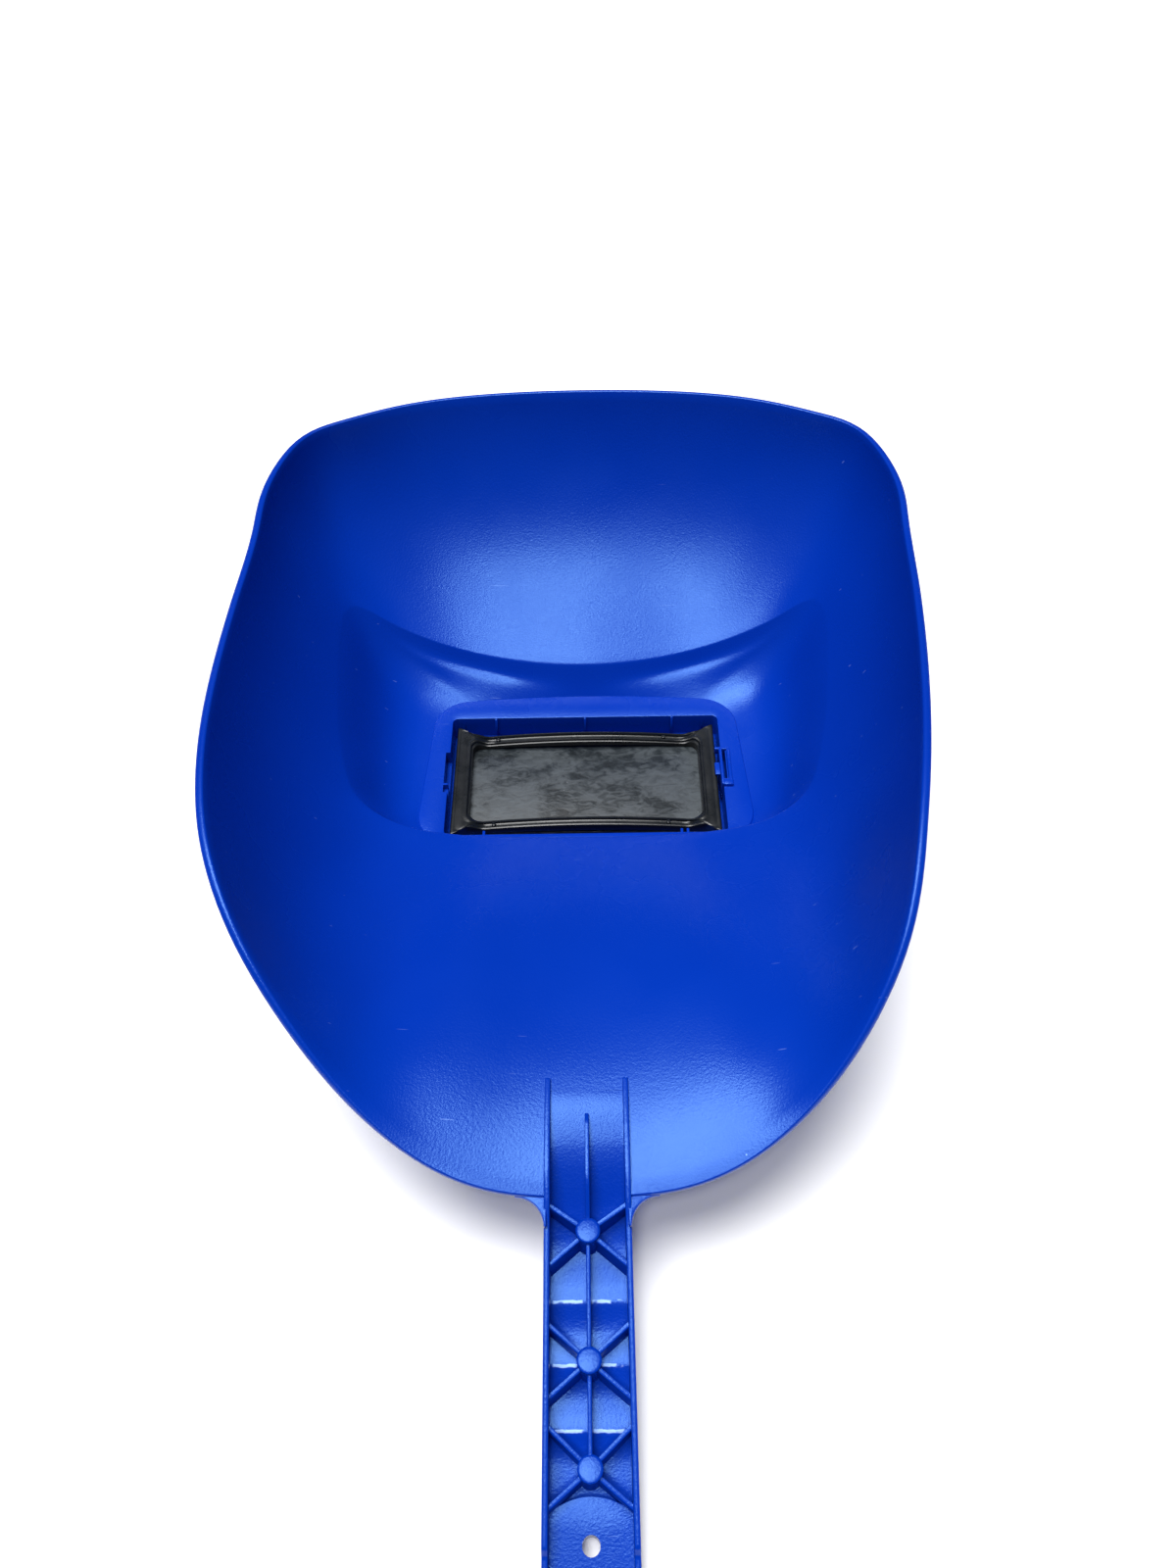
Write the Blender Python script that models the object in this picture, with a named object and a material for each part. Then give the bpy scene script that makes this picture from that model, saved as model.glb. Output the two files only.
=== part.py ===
"""Handheld welding mask, lying with its hollow up, as the real one rests on a table.

The blue shell and its handle are one moulding. A black lens holder snaps into the window box
and presses the dark glass on the box's front wall. Lengths are in millimetres, measured from
the middle of the window: X to the wearer's right, Y towards the forehead, Z up from the table.
"""
import math

import bmesh
import bpy
import numpy as np

MM = 0.001

# Glass and its holder
CLEARANCE = 0.3
GLASS_WIDTH = 108.0
GLASS_HEIGHT = 50.8
GLASS_THICKNESS = 3.0
GLASS_CORNER = 1.2
GLASS_BEVEL = 0.4
HOLDER_PAST_GLASS_SIDE = 2.5
HOLDER_PAST_GLASS_TOP = 4.1
HOLDER_HALF_WIDTH = GLASS_WIDTH / 2 + HOLDER_PAST_GLASS_SIDE
HOLDER_HALF_HEIGHT = GLASS_HEIGHT / 2 + HOLDER_PAST_GLASS_TOP
HOLDER_THICKNESS = 5.0
HOLDER_END_BAR = 7.2
HOLDER_LONG_BAR = 8.6
HOLDER_TIP_REACH = 3.7
HOLDER_BAR_DROP = 2.8
HOLDER_BOW = 3.2
HOLDER_UNDER_BOW = 1.6
HOLDER_OUTER_CORNER = 0.6
HOLDER_INNER_CORNER = 4.0
HOLDER_GROOVE = 0.9
HOLDER_INNER_DROP = 0.3
GROOVE_SHARES = (0.14, 0.26, 0.66, 0.78)

# Window box
BOX_PAST_HOLDER_SIDE = 2.0
BOX_PAST_HOLDER_TOP = 2.5
BOX_HALF_WIDTH = HOLDER_HALF_WIDTH + BOX_PAST_HOLDER_SIDE
BOX_HALF_HEIGHT = HOLDER_HALF_HEIGHT + BOX_PAST_HOLDER_TOP
BOX_WALL = 2.4
BOX_CORNER = 2.5
FRONT_WALL = 2.5
SIGHT_LEDGE_SIDE = 5.0
SIGHT_LEDGE_TOP = 4.9
SIGHT_HALF_WIDTH = GLASS_WIDTH / 2 - SIGHT_LEDGE_SIDE
SIGHT_HALF_HEIGHT = GLASS_HEIGHT / 2 - SIGHT_LEDGE_TOP
SIGHT_CORNER = 3.0

# Raised panel round the window
PANEL_HEIGHT = 14.0
PANEL_RAISE = 0.8
PANEL_BESIDE_LOW = 11.0
PANEL_BESIDE_HIGH = 5.5
PANEL_BELOW_BOX = 3.0
PANEL_ABOVE_BOX = 9.5
PANEL_HALF_BOTTOM = BOX_HALF_WIDTH + PANEL_BESIDE_LOW
PANEL_HALF_TOP = BOX_HALF_WIDTH + PANEL_BESIDE_HIGH
PANEL_LOW = BOX_HALF_HEIGHT + PANEL_BELOW_BOX
PANEL_HIGH = BOX_HALF_HEIGHT + PANEL_ABOVE_BOX
PANEL_CROWN = 3.5
PANEL_CORNER = 7.0
PANEL_EDGE = 0.4

# The fold that bounds the deep window pocket: brow above, chin ridge below
FOLD_BESIDE_PANEL = 34.2
BROW_ABOVE_PANEL = 12.5
RIDGE_BELOW_PANEL = 5.5
FOLD_HALF_WIDTH = PANEL_HALF_BOTTOM + FOLD_BESIDE_PANEL
BROW_REACH = PANEL_HIGH + BROW_ABOVE_PANEL
RIDGE_REACH = PANEL_LOW + RIDGE_BELOW_PANEL
FOLD_HEIGHT = 53.0

# Outline of the face shell
RIM_BESIDE_FOLD = 22.8
FOREHEAD_ABOVE_BROW = 88.0
CHIN_BELOW_RIDGE = 152.5
RIM_HALF_WIDTH = FOLD_HALF_WIDTH + RIM_BESIDE_FOLD
FOREHEAD_REACH = BROW_REACH + FOREHEAD_ABOVE_BROW
CHIN_REACH = RIDGE_REACH + CHIN_BELOW_RIDGE
RIM_HEIGHT = 106.0
WALL = 2.4
LIP_WIDTH = 3.0
LIP_CROWN = 0.8
FIT_STEP = 0.1

# The thin sides lean a little to the wearer's left, most of all beside the chin.
# The lean's start, middle and end are shares of the chin's and the forehead's reach.
RIM_LEAN = 6.8
LEAN_CHIN_START = 0.96
LEAN_CHIN_MIDDLE = 0.456
LEAN_FOREHEAD_END = 0.53

# Snap hooks and locating ribs of the window box
HOOK_LENGTH = 15.0
HOOK_MIDDLE = 5.0
HOOK_REACH = 1.4
HOOK_HEIGHT = 2.4
HOOK_TIP_HEIGHT = 0.9
BOX_RIB_WIDTH = 1.2
BOX_RIB_GAP = 0.5
TOP_RIB_PLACES = (-39.5, 0.0, 38.5)
BOTTOM_RIB_PLACES = (-42.0, 42.0)

# Handle
HANDLE_HALF_WIDTH = 13.2
HANDLE_END_WIDENING = 0.7
HANDLE_LENGTH = 99.0
HANDLE_DEPTH = 15.0
HANDLE_END_RADIUS = 5.0
FLANGE_THICKNESS = 1.8
FLANGE_RUN = 35.8
FLANGE_RISE = 3.0
FLANGE_TIP_SHARE = 0.25
FLANGE_BEND = 9.0
FLANGE_STEP = 2.0
FLANGE_STEP_FROM_END = 11.1
FLOOR_WALL = 2.4
FLOOR_START = 32.0
GRIP_PITCH = 16.4
GRIP_DEPTH = 1.5
GRIP_START = 25.2
GRIP_COUNT = 3
GRIP_RIDGE_ROUNDING = 0.12
ROOT_FILLET = 9.0
FILLET_SINK = 0.5
CUT_MARGIN = 1.0

# Ribs, bosses and hanging hole inside the handle
BOSS_DIAMETER = 7.4
BOSS_SIDES = 16
BOSS_BELOW_FLANGE = 2.2
RIB_THICKNESS = 1.3
RIB_BELOW_FLANGE = 3.2
CENTRE_RIB_RUN = 24.4
CENTRE_RIB_RISE = 1.8
CENTRE_RIB_TIP_SHARE = 0.4
CENTRE_RIB_BEND = 6.4
CENTRE_RIB_STEPS = 24
PLATEAU_FROM_END = 23.0
PLATEAU_RAISE = 3.4
HOLE_DIAMETER = 5.2
HOLE_FROM_END = 13.4

# How finely the moulding is divided
BOTTOM_COLUMNS = 12
CORNER_COLUMNS = 3
SIDE_COLUMNS = 12
TOP_COLUMNS = 10
HALF_COLUMNS = BOTTOM_COLUMNS + 2 * CORNER_COLUMNS + SIDE_COLUMNS + TOP_COLUMNS
POCKET_RINGS = 4
SHELL_RINGS = 9
HANDLE_STEPS = 61
TIP_STEPS = 6
ARC_STEPS = 6
MIRRORED_ROWS = 4

# Points nearer than this after the cuts are merged
MERGE_REACH = 0.02
SLIVER_REACH = 0.005

# Bosses: place from the handle's root, and the reach of their cross ribs up and down the handle
BOSS_COLUMNS = ("from_root", "arm_up", "arm_down")
BOSSES = ((0.088, 0.076, 0.094), (0.426, 0.099, 0.096), (0.692, 0.110, 0.096))

# One row for each rib of the form, from the chin's middle round to the forehead's middle.
# Places are shares of the outline's sizes, slopes are degrees above the horizontal.
RIB_COLUMNS = ("turn", "rim_x", "rim_y", "rim_z", "fold_x", "fold_y", "fold_z", "foot", "head", "leave", "arrive")
RIBS = (
    (0.000, 0.000, -1.000, 0.453, 0.000, -1.000, 0.436, 60, 62, 18, -12),
    (0.065, 0.237, -0.990, 0.468, 0.145, -1.000, 0.436, 60, 62, 18.5, -12),
    (0.125, 0.443, -0.935, 0.529, 0.280, -0.995, 0.442, 60, 62, 17, -6),
    (0.185, 0.632, -0.829, 0.671, 0.415, -0.988, 0.455, 62, 64, 13, 28),
    (0.240, 0.775, -0.702, 0.855, 0.540, -0.970, 0.480, 66, 68, 11, 58),
    (0.300, 0.870, -0.549, 0.968, 0.685, -0.933, 0.540, 60, 68, 16, 72),
    (0.370, 0.937, -0.358, 1.000, 0.839, -0.790, 0.690, 22, 60, 36, 78),
    (0.450, 0.976, -0.150, 1.000, 0.916, -0.420, 0.823, 10, 57, 50, 80),
    (0.540, 0.992, 0.085, 1.000, 0.969, 0.185, 0.926, 6, 58, 56, 80),
    (0.630, 1.000, 0.366, 1.000, 1.000, 0.778, 1.000, 5, 57, 55, 80),
    (0.700, 0.998, 0.592, 1.000, 0.984, 1.185, 0.983, 4, 55, 47, 79),
    (0.745, 0.933, 0.771, 1.000, 0.916, 1.250, 0.889, 4, 54, 37, 77),
    (0.790, 0.814, 0.856, 1.000, 0.810, 1.222, 0.747, 4, 55, 31, 74),
    (0.870, 0.569, 0.947, 1.000, 0.521, 1.120, 0.540, 14, 56, 27, 69),
    (1.000, 0.000, 1.000, 1.000, 0.000, 1.000, 0.474, 46, 54, 25, 66),
)
FOOT_HANDLE = 0.40
FOLD_HANDLE = 0.36
RIM_HANDLE = 0.36

HOLDER_TOP = FRONT_WALL + CLEARANCE + GLASS_THICKNESS + CLEARANCE + HOLDER_THICKNESS
BOX_FLOOR = FRONT_WALL
CHIN_ROW = RIBS[0]
HANDLE_ROOT_Y = -CHIN_REACH * abs(CHIN_ROW[RIB_COLUMNS.index("rim_y")])
HANDLE_ROOT_Z = RIM_HEIGHT * CHIN_ROW[RIB_COLUMNS.index("rim_z")]
HANDLE_END_Y = HANDLE_ROOT_Y - HANDLE_LENGTH
HANDLE_SLOPE = (HANDLE_ROOT_Z - HANDLE_DEPTH) / HANDLE_LENGTH


def clear_scene():
    for old in list(bpy.data.objects):
        bpy.data.objects.remove(old, do_unlink=True)


def plastic(name, colour, roughness):
    material = bpy.data.materials.new(name)
    material.use_nodes = True
    shader = material.node_tree.nodes["Principled BSDF"]
    shader.inputs["Base Color"].default_value = (*colour, 1.0)
    shader.inputs["Roughness"].default_value = roughness
    shader.inputs["Metallic"].default_value = 0.0
    return material


def new_object(name, points, faces, material=None):
    """A closed mesh from points in millimetres, with its faces turned outwards."""
    mesh = bpy.data.meshes.new(name)
    mesh.from_pydata([[c * MM for c in point] for point in points], [], faces)
    work = bmesh.new()
    work.from_mesh(mesh)
    bmesh.ops.recalc_face_normals(work, faces=work.faces)
    work.to_mesh(mesh)
    work.free()
    thing = bpy.data.objects.new(name, mesh)
    bpy.context.scene.collection.objects.link(thing)
    if material:
        mesh.materials.append(material)
    return thing


def combine(base, tool, operation):
    """Join or cut one solid with another, and remove the tool."""
    step = base.modifiers.new("step", "BOOLEAN")
    step.operation = operation
    step.object = tool
    step.solver = "EXACT"
    graph = bpy.context.evaluated_depsgraph_get()
    result = bpy.data.meshes.new_from_object(base.evaluated_get(graph))
    base.modifiers.clear()
    base.data = result
    bpy.data.objects.remove(tool, do_unlink=True)


def smooth_columns(turns):
    """The rib table's columns at any turns, as cubic splines mirrored at both middles."""
    rows = np.array(RIBS, float)
    knots = rows[:, 0]
    values = rows[:, 1:].copy()
    sign = np.ones(values.shape[1])
    sign[RIB_COLUMNS.index("rim_x") - 1] = -1
    sign[RIB_COLUMNS.index("fold_x") - 1] = -1
    before, after = slice(MIRRORED_ROWS, 0, -1), slice(-2, -2 - MIRRORED_ROWS, -1)
    t = np.concatenate([-knots[before], knots, 2 - knots[after]])
    v = np.concatenate([values[before] * sign, values, values[after] * sign])
    h = np.diff(t)
    count = len(t)
    system = np.eye(count)
    right = np.zeros_like(v)
    for i in range(1, count - 1):
        system[i, i - 1:i + 2] = h[i - 1], 2 * (h[i - 1] + h[i]), h[i]
        right[i] = 6 * ((v[i + 1] - v[i]) / h[i] - (v[i] - v[i - 1]) / h[i - 1])
    bend = np.linalg.solve(system, right)
    place = np.clip(np.searchsorted(t, turns, side="right") - 1, 0, count - 2)
    a = (t[place + 1] - turns)[:, None]
    b = (turns - t[place])[:, None]
    step = h[place][:, None]
    curve = (bend[place] * a ** 3 + bend[place + 1] * b ** 3) / (6 * step)
    curve += (v[place] / step - bend[place] * step / 6) * a
    curve += (v[place + 1] / step - bend[place + 1] * step / 6) * b
    return dict(zip(RIB_COLUMNS[1:], curve.T))


def column_turns():
    return np.linspace(0, 1, HALF_COLUMNS + 1)


def reach_y(share, forehead, chin):
    return np.where(share > 0, share * forehead, share * chin)


def ease(share):
    share = np.clip(share, 0, 1)
    return share * share * (3 - 2 * share)


def lean_sideways(ring):
    """A ring of the face, moved to the wearer's left by the lean at its height."""
    middle = -LEAN_CHIN_MIDDLE * CHIN_REACH
    low, high = -LEAN_CHIN_START * CHIN_REACH, LEAN_FOREHEAD_END * FOREHEAD_REACH
    y = ring[:, 1]
    along = ease((y - low) / (middle - low)) * ease((high - y) / (high - middle))
    up = np.clip((ring[:, 2] - PANEL_HEIGHT) / (RIM_HEIGHT - PANEL_HEIGHT), 0, 1)
    leaning = ring.copy()
    leaning[:, 0] -= RIM_LEAN * along * up
    return leaning


def window_loop(half_bottom, half_top, low, high, corner, height, crown=0.0):
    """Right half of a loop round the window, from its low middle to its high middle."""
    angle = np.linspace(0, math.pi / 2, CORNER_COLUMNS + 1)
    bottom = np.linspace((0, -low), (half_bottom - corner, -low), BOTTOM_COLUMNS + 1)
    low_corner = np.stack([half_bottom - corner + corner * np.sin(angle),
                           -low + corner - corner * np.cos(angle)], 1)
    side = np.linspace((half_bottom, -low + corner), (half_top, high - corner), SIDE_COLUMNS + 1)
    high_corner = np.stack([half_top - corner + corner * np.cos(angle),
                            high - corner + corner * np.sin(angle)], 1)
    top = np.linspace((half_top - corner, high), (0, high), TOP_COLUMNS + 1)
    flat = np.concatenate([bottom, low_corner[1:], side[1:], high_corner[1:], top[1:]])
    lift = crown * (1 - (flat[:, 0] / half_top) ** 2)
    flat[:, 1] += np.where(flat[:, 1] > high - corner, lift, 0)
    return np.column_stack([flat, np.full(len(flat), height)])


def bezier(start, first, second, end, share):
    s = share
    return ((1 - s) ** 3 * start + 3 * s * (1 - s) ** 2 * first + 3 * s ** 2 * (1 - s) * second + s ** 3 * end)


def slope_step(flat_way, degrees, length):
    angle = np.radians(degrees)[:, None]
    return np.concatenate([flat_way * np.cos(angle), np.sin(angle)], 1) * length[:, None]


def form_rings():
    """Half rings of the face side, from the panel's foot to the rim."""
    form = smooth_columns(column_turns())
    rim = np.stack([form["rim_x"] * RIM_HALF_WIDTH, reach_y(form["rim_y"], FOREHEAD_REACH, CHIN_REACH),
                    form["rim_z"] * RIM_HEIGHT], 1)
    fold = np.stack([form["fold_x"] * FOLD_HALF_WIDTH, reach_y(form["fold_y"], BROW_REACH, RIDGE_REACH),
                     form["fold_z"] * FOLD_HEIGHT], 1)
    foot = window_loop(PANEL_HALF_BOTTOM + PANEL_EDGE, PANEL_HALF_TOP + PANEL_EDGE, PANEL_LOW + PANEL_EDGE,
                       PANEL_HIGH + PANEL_EDGE, PANEL_CORNER, PANEL_HEIGHT - PANEL_RAISE, PANEL_CROWN)
    way = rim[:, :2] - foot[:, :2]
    way /= np.linalg.norm(way, axis=1)[:, None]
    way[[0, -1], 0] = 0.0
    pocket = np.linalg.norm(fold - foot, axis=1)
    wall = np.linalg.norm(rim - fold, axis=1)
    foot_out = foot + slope_step(way, form["foot"], pocket * FOOT_HANDLE)
    fold_in = fold - slope_step(way, form["head"], pocket * FOOT_HANDLE)
    fold_out = fold + slope_step(way, form["leave"], wall * FOLD_HANDLE)
    rim_in = rim - slope_step(way, form["arrive"], wall * RIM_HANDLE)
    rings = [bezier(foot, foot_out, fold_in, fold, s) for s in np.linspace(0, 1, POCKET_RINGS + 2)]
    rings += [bezier(fold, fold_out, rim_in, rim, s) for s in np.linspace(0, 1, SHELL_RINGS + 2)[1:]]
    return rings


def full_ring(half):
    """Close a half ring by its mirror image."""
    mirror = half[-2:0:-1] * np.array([-1, 1, 1])
    return np.concatenate([half, mirror])


def offset_rings(rings, distance):
    """Each ring moved through the wall, away from the face."""
    grid = np.array(rings)
    along = np.roll(grid, -1, 1) - np.roll(grid, 1, 1)
    outwards = np.gradient(grid, axis=0)
    normal = np.cross(along, outwards)
    normal /= np.linalg.norm(normal, axis=2)[..., None]
    normal *= np.sign(normal[0, 0, 2])
    return grid - normal * distance[:, None, None], normal


def loft(name, rings, material=None):
    """One closed solid through closed rings, the last ring joined to the first."""
    count = len(rings[0])
    points = np.concatenate(rings)
    faces = []
    for i in range(len(rings)):
        j = (i + 1) % len(rings)
        for k in range(count):
            n = (k + 1) % count
            faces.append((i * count + k, i * count + n, j * count + n, j * count + k))
    return new_object(name, points, faces, material)


def face_shell(material):
    """Face side, rounded rim, outside and window box as one closed surface."""
    inside = [lean_sideways(full_ring(r)) for r in form_rings()]
    thickness = np.full(len(inside), WALL)
    thickness[-1] = LIP_WIDTH
    outside, normal = offset_rings(inside, thickness)
    outside = list(outside)
    outside[0][:, 2] = PANEL_HEIGHT - PANEL_RAISE - WALL
    lip_way = np.cross(normal[-1], np.roll(inside[-1], -1, 0) - np.roll(inside[-1], 1, 0))
    lip_way /= np.linalg.norm(lip_way, axis=1)[:, None]
    lip_way *= np.sign(lip_way[HALF_COLUMNS, 2])
    lip = (inside[-1] + outside[-1]) / 2 + lip_way * LIP_CROWN

    def box_loop(half_width, half_height, corner, height):
        return full_ring(window_loop(half_width, half_width, half_height, half_height, corner, height))

    panel = full_ring(window_loop(PANEL_HALF_BOTTOM, PANEL_HALF_TOP, PANEL_LOW, PANEL_HIGH, PANEL_CORNER,
                                  PANEL_HEIGHT, PANEL_CROWN))
    outer_width, outer_height = BOX_HALF_WIDTH + BOX_WALL, BOX_HALF_HEIGHT + BOX_WALL
    rings = [
        box_loop(SIGHT_HALF_WIDTH, SIGHT_HALF_HEIGHT, SIGHT_CORNER, 0.0),
        box_loop(SIGHT_HALF_WIDTH, SIGHT_HALF_HEIGHT, SIGHT_CORNER, BOX_FLOOR),
        box_loop(BOX_HALF_WIDTH, BOX_HALF_HEIGHT, BOX_CORNER, BOX_FLOOR),
        box_loop(BOX_HALF_WIDTH, BOX_HALF_HEIGHT, BOX_CORNER, PANEL_HEIGHT),
        panel,
        *inside,
        lip,
        *outside[::-1],
        box_loop(outer_width, outer_height, BOX_CORNER + BOX_WALL, outside[0][0, 2]),
        box_loop(outer_width, outer_height, BOX_CORNER + BOX_WALL, 0.0),
    ]
    return loft("shell", rings, material)


def chin_height(y):
    """Height of the face side along the middle of the chin."""
    middle = np.array([ring[0] for ring in form_rings()[POCKET_RINGS + 1:]])
    return np.interp(-y, -middle[:, 1], middle[:, 2])


def flange_line(y):
    """Height of the straight run of the handle's two flanges."""
    return HANDLE_ROOT_Z - HANDLE_SLOPE * (HANDLE_ROOT_Y - y)


def flange_top(y):
    """The flanges rise out of the chin, bend at the root and step down before the end."""
    start = HANDLE_ROOT_Y + FLANGE_RUN
    share = (start - y) / FLANGE_RUN
    rise = np.clip(FLANGE_TIP_SHARE + (1 - FLANGE_TIP_SHARE) * share, 0, 1)
    on_chin = chin_height(np.maximum(y, HANDLE_ROOT_Y)) + FLANGE_RISE * np.sqrt(rise)
    blend = ease((HANDLE_ROOT_Y + FLANGE_BEND - y) / (FLANGE_BEND * 2))
    top = (1 - blend) * on_chin + blend * np.minimum(flange_line(y), on_chin)
    step_y = HANDLE_END_Y + FLANGE_STEP_FROM_END
    return top - FLANGE_STEP * ease((step_y - y) / FLANGE_STEP + 0.5)


def grip_wave(y):
    """Finger rests of the handle: 1 at the narrow ridges between them, 0 in the middle of each."""
    turns = (HANDLE_ROOT_Y - GRIP_START - y) / GRIP_PITCH
    fade = ease(turns + 1) * ease(GRIP_COUNT - turns)
    return fade * (1 - np.sqrt(np.sin(math.pi * turns) ** 2 + GRIP_RIDGE_ROUNDING ** 2))


def under_line(y):
    """Outside of the handle's floor, from the chin's wall down to the table at its end."""
    start = HANDLE_ROOT_Y + FLOOR_START
    straight = HANDLE_SLOPE * (y - HANDLE_END_Y) + GRIP_DEPTH * grip_wave(y)
    from_chin = chin_height(np.maximum(y, HANDLE_ROOT_Y)) - FLOOR_WALL
    share = ease((start - y) / (FLOOR_START + HANDLE_HALF_WIDTH))
    return np.maximum((1 - share) * from_chin + share * straight, 0.0)


def floor_line(y):
    """Inside of the handle's floor, with the plateau that holds the hanging hole."""
    plateau_y = HANDLE_END_Y + PLATEAU_FROM_END
    raised = PLATEAU_RAISE * ease((plateau_y - y) / PLATEAU_RAISE + 0.5)
    return under_line(y) + FLOOR_WALL + raised - FIT_STEP * 2


def half_width(y):
    return HANDLE_HALF_WIDTH + HANDLE_END_WIDENING * np.clip((HANDLE_ROOT_Y - y) / HANDLE_LENGTH, 0, 1)


def band_faces(index, count):
    """Faces between one section and the next, each of the given number of corners."""
    near, far = index * count, (index + 1) * count
    return [(near + k, near + (k + 1) % count, far + (k + 1) % count, far + k) for k in range(count)]


def sweep(name, sections):
    """A solid through sections that all have the same number of corners, in order."""
    count = len(sections[0])
    last = (len(sections) - 1) * count
    faces = [tuple(range(count))[::-1], tuple(last + k for k in range(count))]
    for i in range(len(sections) - 1):
        faces += band_faces(i, count)
    return new_object(name, np.concatenate(sections), faces)


def block(name, low, high):
    x0, y0, z0 = low
    x1, y1, z1 = high
    points = [(x0, y0, z0), (x1, y0, z0), (x1, y1, z0), (x0, y1, z0),
              (x0, y0, z1), (x1, y0, z1), (x1, y1, z1), (x0, y1, z1)]
    faces = [(0, 3, 2, 1), (4, 5, 6, 7), (0, 1, 5, 4), (1, 2, 6, 5), (2, 3, 7, 6), (3, 0, 4, 7)]
    return new_object(name, points, faces)


def upright_plate(name, outline, low, high):
    """A flat outline in X and Y, given a height."""
    count = len(outline)
    points = [(x, y, low) for x, y in outline] + [(x, y, high) for x, y in outline]
    faces = [tuple(range(count))[::-1], tuple(range(count, 2 * count))]
    faces += [(k, (k + 1) % count, count + (k + 1) % count, count + k) for k in range(count)]
    return new_object(name, points, faces)


def handle_channel(shell):
    """Open the chin between the flanges and let the channel of the handle run out of it."""
    start = HANDLE_ROOT_Y + FLOOR_START
    middle = HANDLE_HALF_WIDTH - FLANGE_THICKNESS / 2
    notch = block("notch", (-middle, HANDLE_ROOT_Y - LIP_WIDTH * 3, 0), (middle, start, RIM_HEIGHT))
    combine(shell, notch, "DIFFERENCE")
    sections = []
    for y in np.linspace(start + WALL, HANDLE_END_Y, HANDLE_STEPS):
        out, low, floor, top = half_width(y), under_line(y), floor_line(y), flange_top(y)
        inner = out - FLANGE_THICKNESS
        corners = ((-out, low), (out, low), (out, top), (inner, top), (inner, floor), (-inner, floor), (-inner, top),
                   (-out, top))
        sections.append([(x, y, z) for x, z in corners])
    combine(shell, sweep("channel", sections), "UNION")
    end = half_width(HANDLE_END_Y) - FLANGE_THICKNESS / 2
    inside_end = HANDLE_END_Y + FLANGE_THICKNESS
    low = under_line(inside_end) + FLOOR_WALL / 2
    high = flange_top(HANDLE_END_Y) - FIT_STEP
    combine(shell, block("end_wall", (-end, HANDLE_END_Y + FIT_STEP, low), (end, inside_end, high)), "UNION")


def chin_flanges(shell):
    """The tips of the handle's two walls, standing on the chin."""
    tip, root = HANDLE_ROOT_Y + FLANGE_RUN, HANDLE_ROOT_Y + FLOOR_START
    for side in (-1, 1):
        sections = []
        for y in np.linspace(tip, root, TIP_STEPS):
            outer, inner = half_width(y) - FIT_STEP, half_width(y) - FLANGE_THICKNESS + FIT_STEP
            low, high = chin_height(y) - WALL / 2, flange_top(y) - FIT_STEP
            corners = ((outer, low), (outer, high), (inner, high), (inner, low))
            sections.append([(side * x, y, z) for x, z in corners])
        combine(shell, sweep("flange", sections), "UNION")


def root_fillets(shell):
    """Round the two inner corners where the rim meets the handle."""
    angle = np.linspace(0, math.pi / 2, ARC_STEPS)
    height = HANDLE_ROOT_Z
    for side in (-1, 1):
        edge = half_width(HANDLE_ROOT_Y)
        middle_x, middle_y = edge + ROOT_FILLET, HANDLE_ROOT_Y - ROOT_FILLET
        arc = [(side * (middle_x - ROOT_FILLET * math.cos(a)), middle_y + ROOT_FILLET * math.sin(a)) for a in angle]
        inner_x = side * (edge - FLANGE_THICKNESS / 2)
        inner = [(side * middle_x, HANDLE_ROOT_Y + WALL), (inner_x, HANDLE_ROOT_Y + WALL), (inner_x, middle_y)]
        outline = arc + inner
        plate = upright_plate("fillet", outline if side > 0 else outline[::-1], height - WALL, height - FILLET_SINK)
        combine(shell, plate, "UNION")


def thin_wall(name, start, end, low, high, steps=4):
    """An upright rib between two places in X and Y, its top following a height function."""
    start, end = np.array(start, float), np.array(end, float)
    way = (end - start) / np.linalg.norm(end - start)
    across = np.array([-way[1], way[0]]) * RIB_THICKNESS / 2
    sections = []
    for share in np.linspace(0, 1, steps + 1):
        x, y = start + (end - start) * share
        sections.append([(x + side * across[0], y + side * across[1], float(level(y)))
                         for side, level in ((-1, low), (1, low), (1, high), (-1, high))])
    return sweep(name, sections)


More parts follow.
